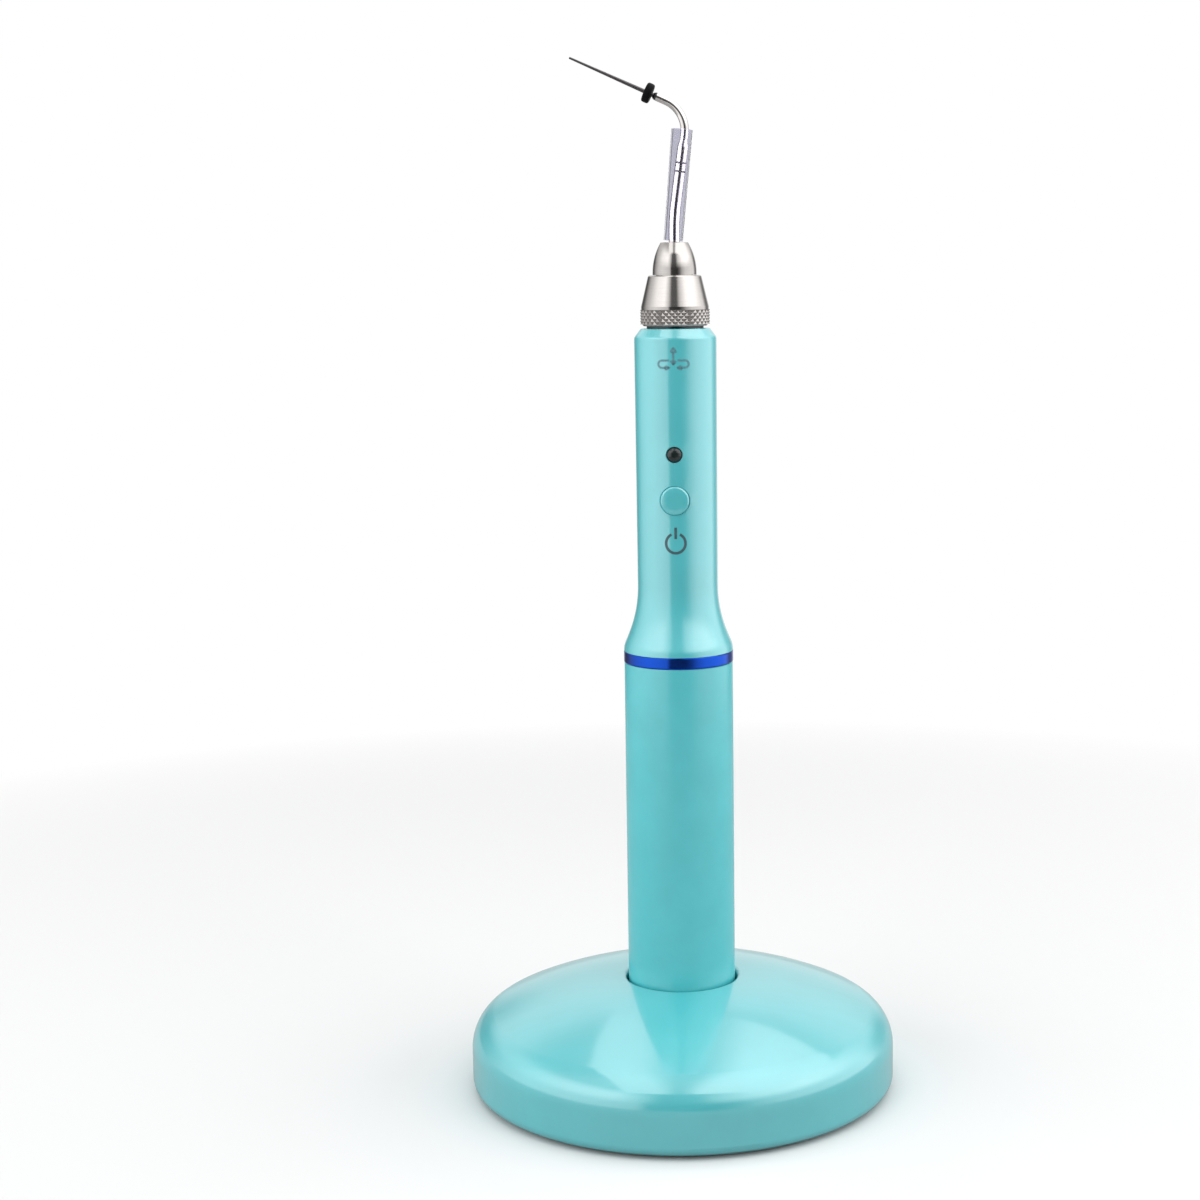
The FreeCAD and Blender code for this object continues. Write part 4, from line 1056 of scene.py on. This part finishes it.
def wave(tree, azimuth, stops):
    """A number that follows (degrees, value) stops; the azimuth comes as a part of a turn."""
    top = max(value for _, value in stops)
    curve = tree.nodes.new("ShaderNodeValToRGB")
    elements = curve.color_ramp.elements
    for i, (angle, value) in enumerate(stops):
        element = elements[i] if i < 2 else elements.new(1)
        element.position = (angle + 180) / 360
        element.color = (value / top, value / top, value / top, 1)
    tree.links.new(azimuth, curve.inputs["Fac"])
    return calculated(tree, "MULTIPLY", curve.outputs["Color"], top)


def ramp_up_tent(tree, elevations, low, high):
    """A number that goes from low to high between two elevations on the tent, in degrees."""
    start, end = (TENT_RADIUS * math.sin(math.radians(elevation)) for elevation in elevations)
    return ramp_along(tree, "Z", start, end, low, high)


def make_tent():
    """The pale tent round the table, as the gloss mirrors it."""
    material = glow("tent_glow", 1.0)
    tree = material.node_tree
    place = tree.nodes.new("ShaderNodeTexCoord")
    parts = tree.nodes.new("ShaderNodeSeparateXYZ")
    tree.links.new(place.outputs["Object"], parts.inputs[0])
    forward = calculated(tree, "MULTIPLY", parts.outputs["Y"], -1)
    angle = calculated(tree, "ARCTAN2", parts.outputs["X"], forward)
    part_of_turn = calculated(tree, "ADD", calculated(tree, "MULTIPLY", angle, 1 / FULL_TURN), 0.5)
    blend = tree.nodes.new("ShaderNodeMix")
    tree.links.new(ramp_up_tent(tree, WALLS_MEET, 0, 1), blend.inputs["Factor"])
    tree.links.new(wave(tree, part_of_turn, LOW_WALL), blend.inputs["A"])
    tree.links.new(wave(tree, part_of_turn, HIGH_WALL), blend.inputs["B"])
    fade = ramp_up_tent(tree, WALLS_FADE, 1, ROOF_SHARE)
    strength = calculated(tree, "MULTIPLY", blend.outputs["Result"], fade)
    tree.links.new(strength, tree.nodes["Emission"].inputs["Strength"])
    vertices, faces = patch((0, 360), (TENT_FOOT, 90), TENT_RADIUS)
    seen_by(staged("tent", vertices, faces, material), reflections=True)


def lamp(name, width, depth, strength, place, outward):
    """A rectangular softbox that shines against its outward direction."""
    light = bpy.data.lights.new(name, "AREA")
    light.shape = "RECTANGLE"
    light.size, light.size_y = width, depth
    light.energy = strength * width * depth * math.pi
    thing = bpy.data.objects.new(name, light)
    bpy.context.scene.collection.objects.link(thing)
    thing.location = place
    thing.rotation_euler = outward.to_track_quat("Z", "Y").to_euler()
    thing.visible_camera = False
    thing.visible_glossy = False


def side_lamp(name, azimuths):
    """A softbox that covers a range of azimuths as seen from the object's axis."""
    centre = math.radians(sum(azimuths) / 2)
    width = 2 * SIDE_DISTANCE * math.tan(math.radians(azimuths[1] - azimuths[0]) / 2)
    low, high = SIDE_HEIGHTS
    outward = Vector((math.sin(centre), -math.cos(centre), 0))
    place = outward * SIDE_DISTANCE + Vector((0, 0, (low + high) / 2))
    lamp(name, width, high - low, SIDE_LIGHT, place, outward)


def make_sheet():
    """The overhead diffuser as the gloss mirrors it."""
    vertices = [(x * TOP_HEIGHT, y * TOP_HEIGHT, TOP_HEIGHT) for x, y in SHEET_OUTLINE]
    material = glow("overhead_glow", 1.0)
    tree = material.node_tree
    across = ramp_along(tree, "X", *SHEET_ACROSS, LEFT_SHEET, RIGHT_SHEET)
    back = ramp_along(tree, "Y", *SHEET_BACKWARD, 1.0, BACK_SHARE)
    left = ramp_along(tree, "X", *DIM_LEFT, 1.0, DIM_MIDDLE)
    right = ramp_along(tree, "X", *DIM_RIGHT, DIM_MIDDLE, 1.0)
    either = calculated(tree, "MAXIMUM", left, right)
    strength = calculated(tree, "MULTIPLY", calculated(tree, "MULTIPLY", across, back), either)
    tree.links.new(strength, tree.nodes["Emission"].inputs["Strength"])
    whole = [tuple(range(len(SHEET_OUTLINE)))]
    seen_by(staged("overhead_sheet", vertices, whole, material), reflections=True)


def make_world():
    """A dim bluish room beyond the tent."""
    world = bpy.data.worlds.new("dim_room")
    world.use_nodes = True
    background = world.node_tree.nodes["Background"]
    background.inputs["Color"].default_value = (0.95, 0.97, 1.0, 1)
    background.inputs["Strength"].default_value = ROOM
    bpy.context.scene.world = world


make_floor()
make_backdrop()
side_lamp("left_softbox", LEFT_LAMP)
side_lamp("right_softbox", RIGHT_LAMP)
lamp("overhead_softbox", TOP_SIZE, TOP_SIZE, TOP_LIGHT, TOP_PLACE, Vector((0, 0, 1)))
make_sheet()
make_tent()
make_world()

# ---------------------------------------------------------------------------- camera
SENSOR = 36.0
LENS = 64.99
SHIFT = -0.059                # the lens's axis meets the picture to one side of its middle
CLIP = (0.01, 20)
EYE = Vector((0.022002, -0.419827, 0.1605))
HEADING = 3.193               # degrees, from +Y towards -X
TILT = -8.439                 # degrees, downwards
ROLL = -0.633


def make_camera():
    """A camera that stands where the photo was taken from, as far as a fit could tell."""
    lens = bpy.data.cameras.new("camera")
    lens.sensor_width = SENSOR
    lens.lens = LENS
    lens.shift_x = SHIFT
    lens.clip_start, lens.clip_end = CLIP
    camera = bpy.data.objects.new("camera", lens)
    bpy.context.scene.collection.objects.link(camera)
    place = Matrix.Translation(EYE)
    for angle, axis in ((HEADING, "Z"), (90 + TILT, "X"), (ROLL, "Z")):
        place = place @ Matrix.Rotation(math.radians(angle), 4, axis)
    camera.matrix_world = place
    bpy.context.scene.camera = camera


make_camera()
bpy.context.scene.view_settings.view_transform = "Standard"
